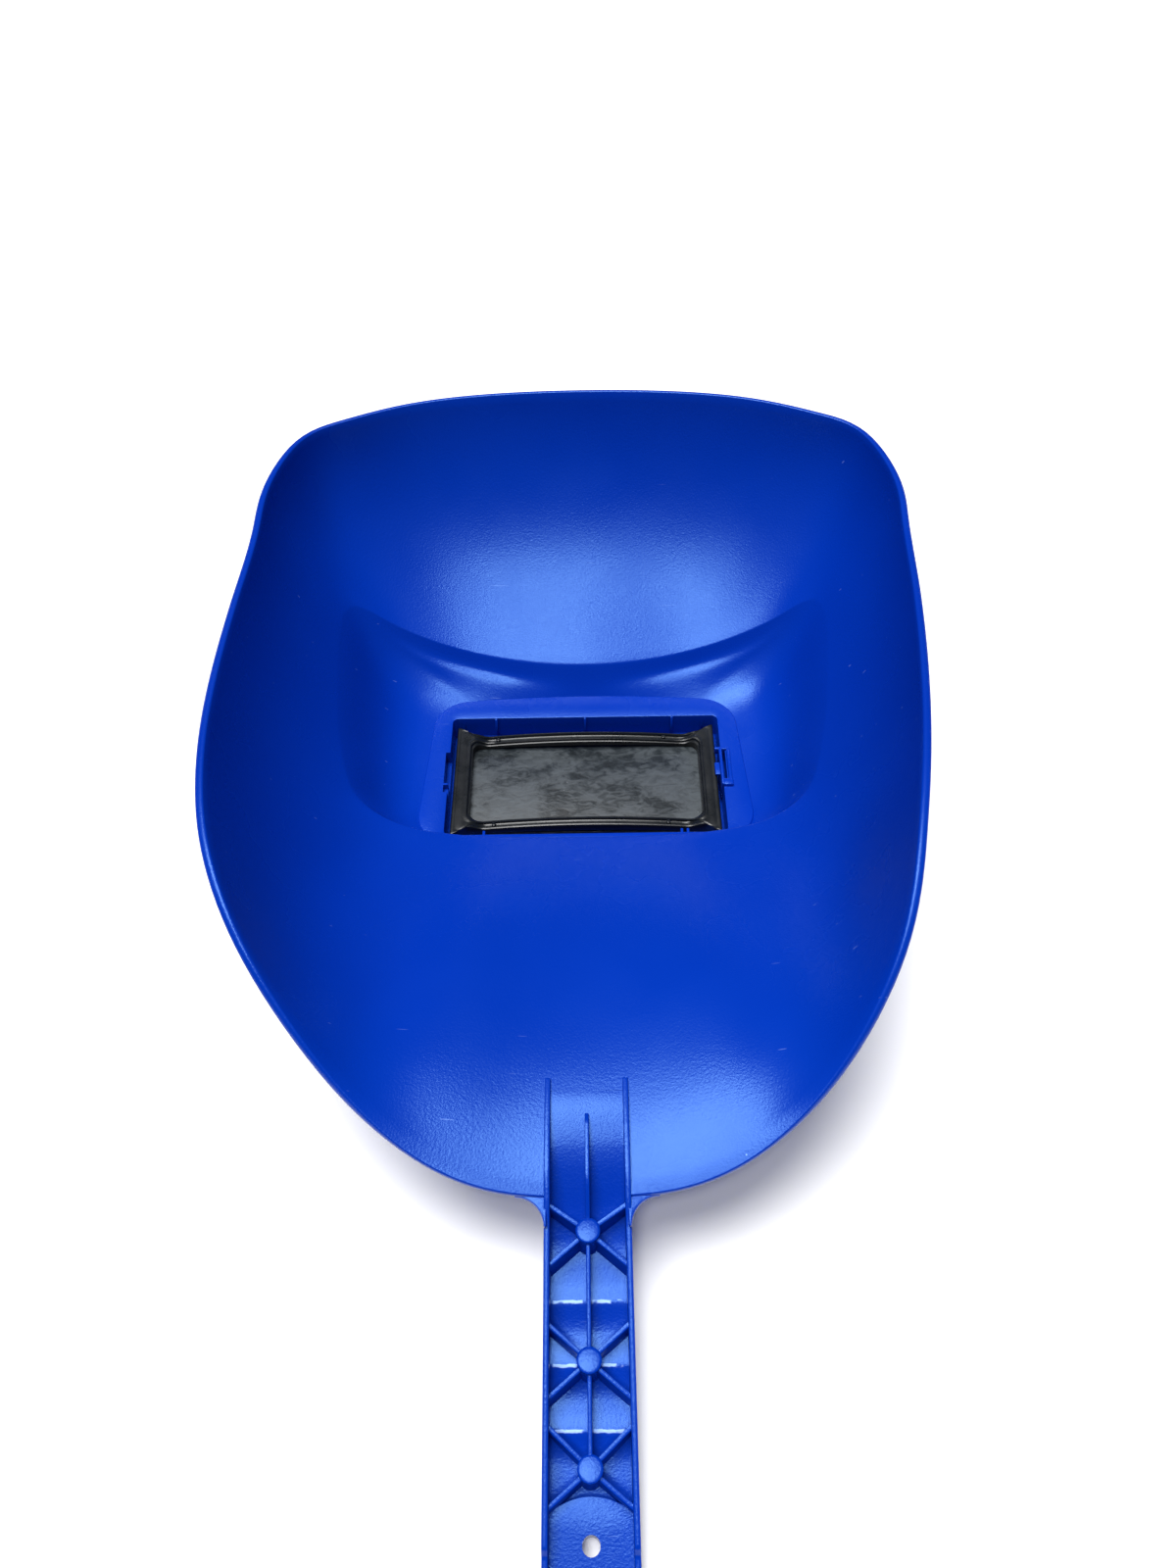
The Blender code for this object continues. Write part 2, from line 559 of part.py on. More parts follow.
def handle_ribs(shell):
    """A rib down the middle, three bosses and the crossed ribs that brace them."""
    def rib_low(y):
        return under_line(y) + FLOOR_WALL / 3

    def rib_top(y):
        return flange_line(y) - RIB_BELOW_FLANGE

    def middle_low(y):
        return rib_low(y) if y < HANDLE_ROOT_Y + FLOOR_START else chin_height(y) - WALL / 2

    def middle_top(y):
        rise = ease((HANDLE_ROOT_Y + CENTRE_RIB_RUN - y) / RIB_BELOW_FLANGE)
        share = CENTRE_RIB_TIP_SHARE + (1 - CENTRE_RIB_TIP_SHARE) * rise
        on_chin = chin_height(max(y, HANDLE_ROOT_Y)) + share * CENTRE_RIB_RISE
        blend = ease((HANDLE_ROOT_Y + CENTRE_RIB_BEND - y) / (CENTRE_RIB_BEND * 2))
        return (1 - blend) * on_chin + blend * (rib_top(y) + FIT_STEP)

    rows = [dict(zip(BOSS_COLUMNS, row)) for row in BOSSES]
    places = [HANDLE_ROOT_Y - row["from_root"] * HANDLE_LENGTH for row in rows]
    angle = np.arange(BOSS_SIDES) * 2 * math.pi / BOSS_SIDES
    for row, y in zip(rows, places):
        top = flange_line(y) - BOSS_BELOW_FLANGE
        ring_x, ring_y = BOSS_DIAMETER / 2 * np.cos(angle), y + BOSS_DIAMETER / 2 * np.sin(angle)
        foot, head = [np.column_stack([ring_x, ring_y, level]) for level in (rib_low(ring_y), np.full(BOSS_SIDES, top))]
        combine(shell, sweep("boss", [foot, head]), "UNION")
        for arm in (row["arm_up"], -row["arm_down"]):
            for side in (-1, 1):
                end = np.array((side * (half_width(y) - FLANGE_THICKNESS / 2), y + arm * HANDLE_LENGTH))
                middle = np.array((0, y))
                start = middle + (end - middle) * RIB_THICKNESS / np.linalg.norm(end - middle)
                combine(shell, thin_wall("cross_rib", start, end, rib_low, rib_top), "UNION")
    combine(shell, thin_wall("centre_rib", (0, HANDLE_ROOT_Y + CENTRE_RIB_RUN), (0, places[-1]),
                             middle_low, middle_top, CENTRE_RIB_STEPS), "UNION")


def hanging_hole(shell):
    angle = np.arange(BOSS_SIDES) * 2 * math.pi / BOSS_SIDES
    middle = HANDLE_END_Y + HOLE_FROM_END
    outline = [(HOLE_DIAMETER / 2 * math.cos(a), middle + HOLE_DIAMETER / 2 * math.sin(a)) for a in angle]
    combine(shell, upright_plate("hole", outline, -HANDLE_DEPTH, RIM_HEIGHT), "DIFFERENCE")


def round_handle_end(shell):
    """Cut the handle's end to a round outline seen from above."""
    end_width = half_width(HANDLE_END_Y)
    past_side, past_end = end_width + CUT_MARGIN, HANDLE_END_Y - CUT_MARGIN
    angle = np.linspace(0, math.pi / 2, ARC_STEPS)
    for side in (-1, 1):
        centre_x, centre_y = end_width - HANDLE_END_RADIUS, HANDLE_END_Y + HANDLE_END_RADIUS
        arc = [(side * (centre_x + HANDLE_END_RADIUS * math.cos(a)), centre_y - HANDLE_END_RADIUS * math.sin(a))
               for a in angle]
        beyond = [(side * centre_x, past_end), (side * past_side, past_end), (side * past_side, centre_y)]
        outline = arc + beyond
        corner = upright_plate("corner", outline if side > 0 else outline[::-1], -HANDLE_DEPTH, RIM_HEIGHT)
        combine(shell, corner, "DIFFERENCE")


def window_fittings(shell):
    """Snap hooks over the holder's ends, and ribs that keep it in the middle of the box."""
    seat = HOLDER_TOP + CLEARANCE
    for side in (-1, 1):
        tip, root = side * (HOLDER_HALF_WIDTH - HOOK_REACH), side * (BOX_HALF_WIDTH + BOX_WALL / 2)
        low, high = HOOK_MIDDLE - HOOK_LENGTH / 2, HOOK_MIDDLE + HOOK_LENGTH / 2
        points = [(x, y, seat + up) for y in (low, high)
                  for x, up in ((tip, 0), (root, 0), (root, HOOK_HEIGHT), (tip, HOOK_TIP_HEIGHT))]
        faces = [(0, 1, 2, 3), (7, 6, 5, 4), (0, 4, 5, 1), (1, 5, 6, 2), (2, 6, 7, 3), (3, 7, 4, 0)]
        combine(shell, new_object("hook", points, faces), "UNION")
    for side, places in ((1, TOP_RIB_PLACES), (-1, BOTTOM_RIB_PLACES)):
        near, far = sorted((side * (HOLDER_HALF_HEIGHT + BOX_RIB_GAP), side * (BOX_HALF_HEIGHT + BOX_WALL / 2)))
        for x in places:
            rib = block("box_rib", (x - BOX_RIB_WIDTH / 2, near, BOX_FLOOR - FRONT_WALL / 2),
                        (x + BOX_RIB_WIDTH / 2, far, PANEL_HEIGHT - PANEL_RAISE))
            combine(shell, rib, "UNION")


def lens_holder(material):
    """Snap-in frame whose long bars bow towards the face and carry a groove."""
    bottom = HOLDER_TOP - HOLDER_THICKNESS
    inner_width, inner_height = HOLDER_HALF_WIDTH - HOLDER_END_BAR, HOLDER_HALF_HEIGHT - HOLDER_LONG_BAR

    def ring(share, height, bow, drop=0.0):
        """A loop across the frame: share 0 at its outer edge, 1 at its opening."""
        outer = window_loop(HOLDER_HALF_WIDTH, HOLDER_HALF_WIDTH, HOLDER_HALF_HEIGHT, HOLDER_HALF_HEIGHT,
                            HOLDER_OUTER_CORNER, height)
        inner = window_loop(inner_width, inner_width, inner_height, inner_height, HOLDER_INNER_CORNER, height)
        past_tip = ease((HOLDER_HALF_WIDTH - np.abs(outer[:, 0])) / HOLDER_END_BAR)
        on_edge = np.abs(outer[:, 1]) > inner_height
        outer[:, 1] -= np.sign(outer[:, 1]) * np.where(on_edge, HOLDER_TIP_REACH * past_tip, 0)
        loop = outer + (inner - outer) * share
        on_bar = ease((inner_width - np.abs(loop[:, 0])) / HOLDER_END_BAR)
        on_bar = np.where(np.abs(loop[:, 1]) > inner_height - HOLDER_INNER_CORNER, on_bar, 0)
        loop[:, 2] += on_bar * (bow * (1 - (loop[:, 0] / inner_width) ** 2) - drop)
        return full_ring(loop)

    outer_edge, outer_foot, inner_foot, inner_edge = GROOVE_SHARES
    under, over = HOLDER_UNDER_BOW, HOLDER_BOW
    groove = HOLDER_BAR_DROP + HOLDER_GROOVE
    rings = [ring(0.0, bottom, under), ring(0.0, HOLDER_TOP, over, HOLDER_BAR_DROP),
             ring(outer_edge, HOLDER_TOP, over, HOLDER_BAR_DROP), ring(outer_foot, HOLDER_TOP, over, groove),
             ring(inner_foot, HOLDER_TOP, over, groove), ring(inner_edge, HOLDER_TOP, over, HOLDER_BAR_DROP),
             ring(1.0, HOLDER_TOP - HOLDER_INNER_DROP, over, HOLDER_BAR_DROP), ring(1.0, bottom, under)]
    return loft("lens_holder", rings, material)


def filter_glass(material):
    """Dark plate with ground corners, loose by the clearance between front wall and holder."""
    low = BOX_FLOOR + CLEARANCE
    high = low + GLASS_THICKNESS
    outline = full_ring(window_loop(GLASS_WIDTH / 2, GLASS_WIDTH / 2, GLASS_HEIGHT / 2, GLASS_HEIGHT / 2,
                                    GLASS_CORNER, low))
    inset = full_ring(window_loop(GLASS_WIDTH / 2 - GLASS_BEVEL, GLASS_WIDTH / 2 - GLASS_BEVEL,
                                  GLASS_HEIGHT / 2 - GLASS_BEVEL, GLASS_HEIGHT / 2 - GLASS_BEVEL, GLASS_CORNER, low))
    edges = range(len(outline))
    corner_at = [i for i in edges if abs(outline[i][0]) > GLASS_WIDTH / 2 - GLASS_CORNER - 0.001
                 and abs(outline[i][1]) > GLASS_HEIGHT / 2 - GLASS_CORNER - 0.001]
    loops = []
    for loop, height in ((inset, low), (outline, low + GLASS_BEVEL), (outline, high - GLASS_BEVEL), (inset, high)):
        loops.append([(loop[i][0], loop[i][1], height) for i in corner_at])
    count = len(corner_at)
    points = [p for loop in loops for p in loop]
    faces = [tuple(range(count))[::-1], tuple(range(3 * count, 4 * count))]
    for i in range(3):
        faces += band_faces(i, count)
    return new_object("filter_glass", points, faces, material)


def tidy_mesh(thing):
    """Merge what the cuts left almost together and shade round parts smooth."""
    work = bmesh.new()
    work.from_mesh(thing.data)
    bmesh.ops.remove_doubles(work, verts=work.verts, dist=MERGE_REACH * MM)
    bmesh.ops.dissolve_degenerate(work, edges=work.edges, dist=SLIVER_REACH * MM)
    bmesh.ops.triangulate(work, faces=work.faces)
    work.to_mesh(thing.data)
    work.free()
    thing.data.shade_smooth()
    thing.data.set_sharp_from_angle(angle=math.radians(30))


def stand_on_origin(things):
    """Slide the whole mask so that its box is centred over the origin."""
    corners = np.array([vertex.co for thing in things for vertex in thing.data.vertices])
    middle = (corners.min(0) + corners.max(0)) / 2
    for thing in things:
        thing.location = (-middle[0], -middle[1], -corners[:, 2].min())


clear_scene()
blue = plastic("blue_plastic", (0.004, 0.045, 0.50), 0.42)
black = plastic("black_plastic", (0.010, 0.010, 0.011), 0.38)
dark = plastic("dark_glass", (0.020, 0.022, 0.022), 0.12)

mask = face_shell(blue)
window_fittings(mask)
handle_channel(mask)
chin_flanges(mask)
root_fillets(mask)
handle_ribs(mask)
hanging_hole(mask)
round_handle_end(mask)
tidy_mesh(mask)
holder = lens_holder(black)
tidy_mesh(holder)
glass = filter_glass(dark)
stand_on_origin([mask, holder, glass])
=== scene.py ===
"""Handheld welding mask lying with its hollow up, as its wearer would see it from the handle's end.

The mask rests on its window box and its handle's end. The mask's sizes are in millimetres from the
middle of the window: X to the wearer's right, Y towards the forehead, Z up. MM makes them metres.
"""
import math

import bpy
import numpy as np
from mathutils import Matrix, Vector


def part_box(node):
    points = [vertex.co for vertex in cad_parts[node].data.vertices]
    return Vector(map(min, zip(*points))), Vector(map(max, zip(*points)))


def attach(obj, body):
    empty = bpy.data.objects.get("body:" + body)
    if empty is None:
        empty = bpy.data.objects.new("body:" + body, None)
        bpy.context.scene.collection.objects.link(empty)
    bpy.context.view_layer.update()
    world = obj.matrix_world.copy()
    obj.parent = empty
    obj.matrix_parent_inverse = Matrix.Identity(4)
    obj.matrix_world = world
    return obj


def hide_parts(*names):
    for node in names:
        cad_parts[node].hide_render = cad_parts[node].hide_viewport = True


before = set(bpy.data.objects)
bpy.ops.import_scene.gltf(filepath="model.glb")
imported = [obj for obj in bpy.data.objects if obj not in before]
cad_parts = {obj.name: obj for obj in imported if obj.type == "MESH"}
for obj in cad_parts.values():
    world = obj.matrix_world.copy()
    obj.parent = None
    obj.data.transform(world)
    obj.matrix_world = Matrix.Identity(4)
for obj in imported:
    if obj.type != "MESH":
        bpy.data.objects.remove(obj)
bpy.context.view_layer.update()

# The view over the handle
# The photographer stands at the handle's end and looks down into the hollow. The picture is
# 1200 x 1600 pixels, and its perspective is that of a phone's wide lens.
glass_low, glass_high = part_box("filter_glass")
WINDOW = Vector(((glass_low[0] + glass_high[0]) / 2, (glass_low[1] + glass_high[1]) / 2, 0.0))
MM = 0.001
VIEW_LENS = 27.045
VIEW_TURN = math.radians(0.34)
VIEW_TILT = math.radians(38.82)
VIEW_ROLL = math.radians(-0.80)
VIEW_DISTANCE = 503.2 * MM
VIEW_TARGET = Vector((1.5, 69.8, 11.1)) * MM

back = Vector((math.sin(VIEW_TURN), -math.sin(VIEW_TILT) * math.cos(VIEW_TURN),
               math.cos(VIEW_TILT) * math.cos(VIEW_TURN))).normalized()
right = Vector((0, math.cos(VIEW_TILT), math.sin(VIEW_TILT))).cross(back).normalized()
turned = Matrix((right, back.cross(right), back)).transposed().to_4x4()
bpy.ops.object.camera_add()
camera = bpy.context.object
camera.name = "wearer_view"
camera.data.lens = VIEW_LENS
camera.data.clip_start = 0.01
stand = Matrix.Translation(VIEW_TARGET + back * VIEW_DISTANCE)
camera.matrix_world = stand @ turned @ Matrix.Rotation(VIEW_ROLL, 4, "Z")
bpy.context.scene.camera = camera

# Floor, lamps and pale room
# A white sheet on the table. The broad light comes from overhead, a little from the left, and a
# smaller lamp over the handle puts the soft shine on the forehead. The room is pale and dim.
FLOOR_SIZE = 9.0
BROAD_LIGHT = {"power": 4.8, "spread": 34.0, "to_right": -8.0, "to_forehead": 5.0}
SMALL_LIGHT = {"power": 1.0, "spread": 10.0, "to_right": -3.0, "to_forehead": -20.0}
ROOM_STRENGTH = 0.045
WALL_BRIGHTNESS = 0.9


def distant_light(name, power, spread, to_right, to_forehead):
    """A light far away, its direction given as degrees from straight overhead."""
    bpy.ops.object.light_add(type="SUN", location=(0, 0, 2))
    light = bpy.context.object
    light.name = name
    light.data.energy = power
    light.data.angle = math.radians(spread)
    towards = Vector((math.tan(math.radians(to_right)), math.tan(math.radians(to_forehead)), 1.0))
    light.rotation_euler = towards.to_track_quat("Z", "Y").to_euler()


distant_light("broad_light", **BROAD_LIGHT)
distant_light("small_light", **SMALL_LIGHT)


def pale_room():
    """Walls that look pale but, far away and unlit, give the mask only a little light."""
    room = bpy.data.worlds.new("pale_room")
    room.use_nodes = True
    nodes, links = room.node_tree.nodes, room.node_tree.links
    dim_air = nodes["Background"]
    dim_air.inputs["Color"].default_value = (0.90, 0.95, 1.0, 1.0)
    dim_air.inputs["Strength"].default_value = ROOM_STRENGTH
    pale_wall = nodes.new("ShaderNodeBackground")
    pale_wall.inputs["Color"].default_value = (0.93, 0.94, 0.95, 1.0)
    pale_wall.inputs["Strength"].default_value = WALL_BRIGHTNESS
    seen = nodes.new("ShaderNodeLightPath")
    either = nodes.new("ShaderNodeMixShader")
    links.new(seen.outputs["Is Camera Ray"], either.inputs[0])
    links.new(dim_air.outputs["Background"], either.inputs[1])
    links.new(pale_wall.outputs["Background"], either.inputs[2])
    links.new(either.outputs["Shader"], nodes["World Output"].inputs["Surface"])
    return room


bpy.context.scene.world = pale_room()
bpy.context.scene.view_settings.view_transform = "Standard"

bpy.ops.mesh.primitive_plane_add(size=FLOOR_SIZE)
floor = bpy.context.object
floor.name = "white_table"
white_sheet = bpy.data.materials.new("white_sheet")
white_sheet.use_nodes = True
paper = white_sheet.node_tree.nodes["Principled BSDF"].inputs
paper["Base Color"].default_value = (0.93, 0.93, 0.93, 1.0)
paper["Roughness"].default_value = 0.8
floor.data.materials.append(white_sheet)

# Blue moulded plastic
# Polypropylene dyed right through, with the fine grain that spark erosion leaves in the mould,
# slightly cloudy colour, and a little dust and a few scratches from use.
BLUE_DEEP, BLUE_CLEAR = (0.0001, 0.0225, 0.295), (0.0001, 0.026, 0.32)
BLUE_DUSTY, BLUE_RUBBED_AND_SHINE = (0.16, 0.26, 0.62), (0.30, 0.44, 0.80)
BLUE_SHINE = (0.24, 0.52, 1.0, 1.0)


class Finish:
    """A material's nodes, added and joined one after another."""

    def __init__(self, name):
        self.material = bpy.data.materials.new(name)
        self.material.use_nodes = True
        self.tree = self.material.node_tree
        self.shader = self.tree.nodes["Principled BSDF"]
        self.place = self.add("ShaderNodeTexCoord").outputs["Object"]

    def add(self, kind, **settings):
        node = self.tree.nodes.new(kind)
        for key, value in settings.items():
            setattr(node, key, value)
        return node

    def set(self, socket, value):
        self.shader.inputs[socket].default_value = value

    def join(self, source, target):
        self.tree.links.new(source, target)

    def stretched(self, scale):
        """The object's own coordinates in metres, times a scale for each axis."""
        node = self.add("ShaderNodeMapping")
        node.inputs["Scale"].default_value = scale
        self.join(self.place, node.inputs["Vector"])
        return node.outputs["Vector"]

    def noise(self, scale, detail=2.0, roughness=0.5, vector=None, distortion=0.0):
        node = self.add("ShaderNodeTexNoise")
        node.inputs["Scale"].default_value = scale
        node.inputs["Detail"].default_value = detail
        node.inputs["Roughness"].default_value = roughness
        node.inputs["Distortion"].default_value = distortion
        self.join(vector or self.place, node.inputs["Vector"])
        return node.outputs["Fac"]

    def cells(self, scale):
        node = self.add("ShaderNodeTexVoronoi")
        node.inputs["Scale"].default_value = scale
        self.join(self.place, node.inputs["Vector"])
        return node.outputs["Distance"]

    def ramp(self, value, low, high, out_low=0.0, out_high=1.0):
        node = self.add("ShaderNodeMapRange", interpolation_type="SMOOTHSTEP")
        node.inputs["From Min"].default_value = low
        node.inputs["From Max"].default_value = high
        node.inputs["To Min"].default_value = out_low
        node.inputs["To Max"].default_value = out_high
        self.join(value, node.inputs["Value"])
        return node.outputs["Result"]

    def sum(self, first, second, operation="ADD"):
        node = self.add("ShaderNodeMath", operation=operation)
        for socket, value in zip(node.inputs, (first, second)):
            if isinstance(value, (int, float)):
                socket.default_value = value
            else:
                self.join(value, socket)
        return node.outputs["Value"]

    def mix(self, share, first, second):
        node = self.add("ShaderNodeMix", data_type="RGBA")
        if isinstance(share, (int, float)):
            node.inputs["Factor"].default_value = share
        else:
            self.join(share, node.inputs["Factor"])
        for socket, value in ((node.inputs[6], first), (node.inputs[7], second)):
            if isinstance(value, tuple):
                socket.default_value = (*value, 1.0)
            else:
                self.join(value, socket)
        return node.outputs[2]

    def colour(self, value):
        self.join(value, self.shader.inputs["Base Color"])

    def roughness(self, value):
        self.join(value, self.shader.inputs["Roughness"])

    def bumps(self, *layers):
        """Each layer is a height, its strength and its depth in metres."""
        last = None
        for height, strength, depth in layers:
            node = self.add("ShaderNodeBump")
            node.inputs["Strength"].default_value = strength
            node.inputs["Distance"].default_value = depth
            self.join(height, node.inputs["Height"])
            if last:
                self.join(last.outputs["Normal"], node.inputs["Normal"])
            last = node
        self.join(last.outputs["Normal"], self.shader.inputs["Normal"])


def blue_plastic():
    finish = Finish("blue_polypropylene")
    cloud = finish.noise(9.0, 3.0)
    grain = finish.noise(1500.0, 2.0, 0.6)
    pits = finish.cells(900.0)
    dye = finish.mix(finish.ramp(cloud, 0.3, 0.7), BLUE_DEEP, BLUE_CLEAR)
    dust = finish.ramp(finish.cells(95.0), 0.030, 0.018)
    rare = finish.ramp(finish.noise(60.0, 1.0), 0.66, 0.70)
    scratch_way = finish.stretched((40.0, 900.0, 300.0))
    scratch = finish.ramp(finish.noise(1.0, 1.0, 0.4, scratch_way), 0.80, 0.83)
    marks = finish.sum(finish.sum(dust, rare, "MULTIPLY"), finish.sum(scratch, 0.35, "MULTIPLY"), "MAXIMUM")
    # The pale ridge streaks mixed in here are partly rubbed wear and partly a painted highlight on the
    # ridge tops.
    finish.colour(finish.mix(ridge_wear_and_highlight(finish), finish.mix(marks, dye, BLUE_DUSTY), BLUE_RUBBED_AND_SHINE))
    finish.roughness(finish.ramp(finish.noise(35.0, 3.0), 0.3, 0.7, 0.25, 0.30))
    finish.bumps((grain, 0.22, 0.0003), (pits, 0.10, 0.0002))
    finish.set("Specular IOR Level", 0.50)
    finish.set("Specular Tint", BLUE_SHINE)
    return finish.material


# Face shell
# One thin moulded wall: forehead, brow, the deep pocket round the window, chin and rounded rim,
# with the raised panel and the open window box in its middle.
RIB_COLUMNS = ("turn", "rim_x", "rim_y", "rim_z", "fold_x", "fold_y", "fold_z",
               "foot", "head", "leave", "arrive")
RIBS = (
    (0.000, 0.000, -1.000, 0.453, 0.000, -1.000, 0.436, 60, 62, 18, -12),
    (0.065, 0.237, -0.990, 0.468, 0.145, -1.000, 0.436, 60, 62, 18.5, -12),
    (0.125, 0.443, -0.935, 0.529, 0.280, -0.995, 0.442, 60, 62, 17, -6),
    (0.185, 0.632, -0.829, 0.671, 0.415, -0.988, 0.455, 62, 64, 13, 28),
    (0.240, 0.775, -0.702, 0.855, 0.540, -0.970, 0.480, 66, 68, 11, 58),
    (0.300, 0.870, -0.549, 0.968, 0.685, -0.933, 0.540, 60, 68, 16, 72),
    (0.370, 0.937, -0.358, 1.000, 0.839, -0.790, 0.690, 22, 60, 36, 78),
    (0.450, 0.976, -0.150, 1.000, 0.916, -0.420, 0.823, 10, 57, 50, 80),
    (0.540, 0.992, 0.085, 1.000, 0.969, 0.185, 0.926, 6, 58, 56, 80),
    (0.630, 1.000, 0.366, 1.000, 1.000, 0.778, 1.000, 5, 57, 55, 80),
    (0.700, 0.998, 0.592, 1.000, 0.984, 1.185, 0.983, 10, 55, 47, 79),
    (0.745, 0.933, 0.771, 1.000, 0.916, 1.250, 0.889, 22, 54, 37, 77),
    (0.790, 0.814, 0.856, 1.000, 0.810, 1.222, 0.747, 32, 55, 31, 74),
    (0.870, 0.569, 0.947, 1.000, 0.521, 1.120, 0.540, 42, 56, 27, 69),
    (1.000, 0.000, 1.000, 1.000, 0.000, 1.000, 0.474, 50, 54, 25, 66),
)
RIM_HALF_WIDTH, FOREHEAD_REACH, CHIN_REACH, RIM_HEIGHT = 126.5, 142.0, 193.0, 106.0
FOLD_HALF_WIDTH, BROW_REACH, RIDGE_REACH, FOLD_HEIGHT = 103.7, 54.0, 40.5, 53.0
WALL, LIP_WIDTH, LIP_CROWN = 2.4, 3.0, 0.8
FOLD_ROUNDING = 0.9
PANEL_HEIGHT, PANEL_RAISE, PANEL_EDGE = 14.0, 0.8, 0.4
PANEL_HALF_BOTTOM, PANEL_HALF_TOP, PANEL_LOW, PANEL_HIGH = 69.5, 66.5, 35.0, 41.0
PANEL_CROWN, PANEL_CORNER = 3.5, 14.0
BOX_HALF_WIDTH, BOX_HALF_HEIGHT, BOX_WALL, BOX_CORNER, BOX_FLOOR = 58.5, 32.0, 2.4, 2.5, 2.5
SIGHT_HALF_WIDTH, SIGHT_HALF_HEIGHT, SIGHT_CORNER = 49.0, 20.5, 3.0
EDGE_ROUNDING = 0.35
BOX_EDGE_ROUNDING = 1.0
RIM_LEAN, LEAN_CHIN_START, LEAN_CHIN_MIDDLE, LEAN_FOREHEAD_END = 6.8, 0.96, 0.456, 0.53
FOOT_HANDLE, FOLD_HANDLE, RIM_HANDLE = 0.40, 0.36, 0.36
FINENESS = 3
BOTTOM_COLUMNS, CORNER_COLUMNS, SIDE_COLUMNS, TOP_COLUMNS = (FINENESS * n for n in (12, 3, 12, 10))
HALF_COLUMNS = BOTTOM_COLUMNS + 2 * CORNER_COLUMNS + SIDE_COLUMNS + TOP_COLUMNS
POCKET_RINGS, FOLD_RINGS, SHELL_RINGS, LIP_RINGS = 10, 5, 30, 8
FOLD_SMOOTHINGS = 6
MIRRORED_ROWS = 4


def smooth_columns(turns):
    """The rib table's columns at any turns, as cubic splines mirrored at both middles."""
    rows = np.array(RIBS, float)
    knots, values = rows[:, 0], rows[:, 1:].copy()
    sign = np.ones(values.shape[1])
    sign[[RIB_COLUMNS.index("rim_x") - 1, RIB_COLUMNS.index("fold_x") - 1]] = -1
    before, after = slice(MIRRORED_ROWS, 0, -1), slice(-2, -2 - MIRRORED_ROWS, -1)
    t = np.concatenate([-knots[before], knots, 2 - knots[after]])
    v = np.concatenate([values[before] * sign, values, values[after] * sign])
    h = np.diff(t)
    count = len(t)
    system, pull = np.eye(count), np.zeros_like(v)
    for i in range(1, count - 1):
        system[i, i - 1:i + 2] = h[i - 1], 2 * (h[i - 1] + h[i]), h[i]
        pull[i] = 6 * ((v[i + 1] - v[i]) / h[i] - (v[i] - v[i - 1]) / h[i - 1])
    bend = np.linalg.solve(system, pull)
    place = np.clip(np.searchsorted(t, turns, side="right") - 1, 0, count - 2)
    a, b, step = (t[place + 1] - turns)[:, None], (turns - t[place])[:, None], h[place][:, None]
    curve = (bend[place] * a ** 3 + bend[place + 1] * b ** 3) / (6 * step)
    curve += (v[place] / step - bend[place] * step / 6) * a
    curve += (v[place + 1] / step - bend[place + 1] * step / 6) * b
    return dict(zip(RIB_COLUMNS[1:], curve.T))


def reach_y(share, forehead, chin):
    return np.where(share > 0, share * forehead, share * chin)


def ease(share):
    share = np.clip(share, 0, 1)
    return share * share * (3 - 2 * share)


def lean_sideways(ring):
    """A ring of the face, moved to the wearer's left by the lean at its height."""
    middle = -LEAN_CHIN_MIDDLE * CHIN_REACH
    low, high = -LEAN_CHIN_START * CHIN_REACH, LEAN_FOREHEAD_END * FOREHEAD_REACH
    y = ring[:, 1]
    along = ease((y - low) / (middle - low)) * ease((high - y) / (high - middle))
    up = np.clip((ring[:, 2] - PANEL_HEIGHT) / (RIM_HEIGHT - PANEL_HEIGHT), 0, 1)
    leaning = ring.copy()
    leaning[:, 0] -= RIM_LEAN * along * up
    return leaning


def window_loop(half_bottom, half_top, low, high, corner, height, crown=0.0):
    """Right half of a loop round the window, from its low middle to its high middle."""
    angle = np.linspace(0, math.pi / 2, CORNER_COLUMNS + 1)
    bottom = np.linspace((0, -low), (half_bottom - corner, -low), BOTTOM_COLUMNS + 1)
    low_corner = np.stack([half_bottom - corner + corner * np.sin(angle),
                           -low + corner - corner * np.cos(angle)], 1)
    side = np.linspace((half_bottom, -low + corner), (half_top, high - corner), SIDE_COLUMNS + 1)
    high_corner = np.stack([half_top - corner + corner * np.cos(angle),
                            high - corner + corner * np.sin(angle)], 1)
    top = np.linspace((half_top - corner, high), (0, high), TOP_COLUMNS + 1)
    flat = np.concatenate([bottom, low_corner[1:], side[1:], high_corner[1:], top[1:]])
    flat[:, 1] += np.where(flat[:, 1] > high - corner, crown * (1 - (flat[:, 0] / half_top) ** 2), 0)
    return np.column_stack([flat, np.full(len(flat), height)])


def bezier(start, first, second, end, share):
    s = share if np.isscalar(share) else share[:, None]
    t = 1 - s
    return t ** 3 * start + 3 * s * t ** 2 * first + 3 * s ** 2 * t * second + s ** 3 * end


def slope_step(flat_way, degrees, length):
    angle = np.radians(degrees)[:, None]
    return np.concatenate([flat_way * np.cos(angle), np.sin(angle)], 1) * length[:, None]


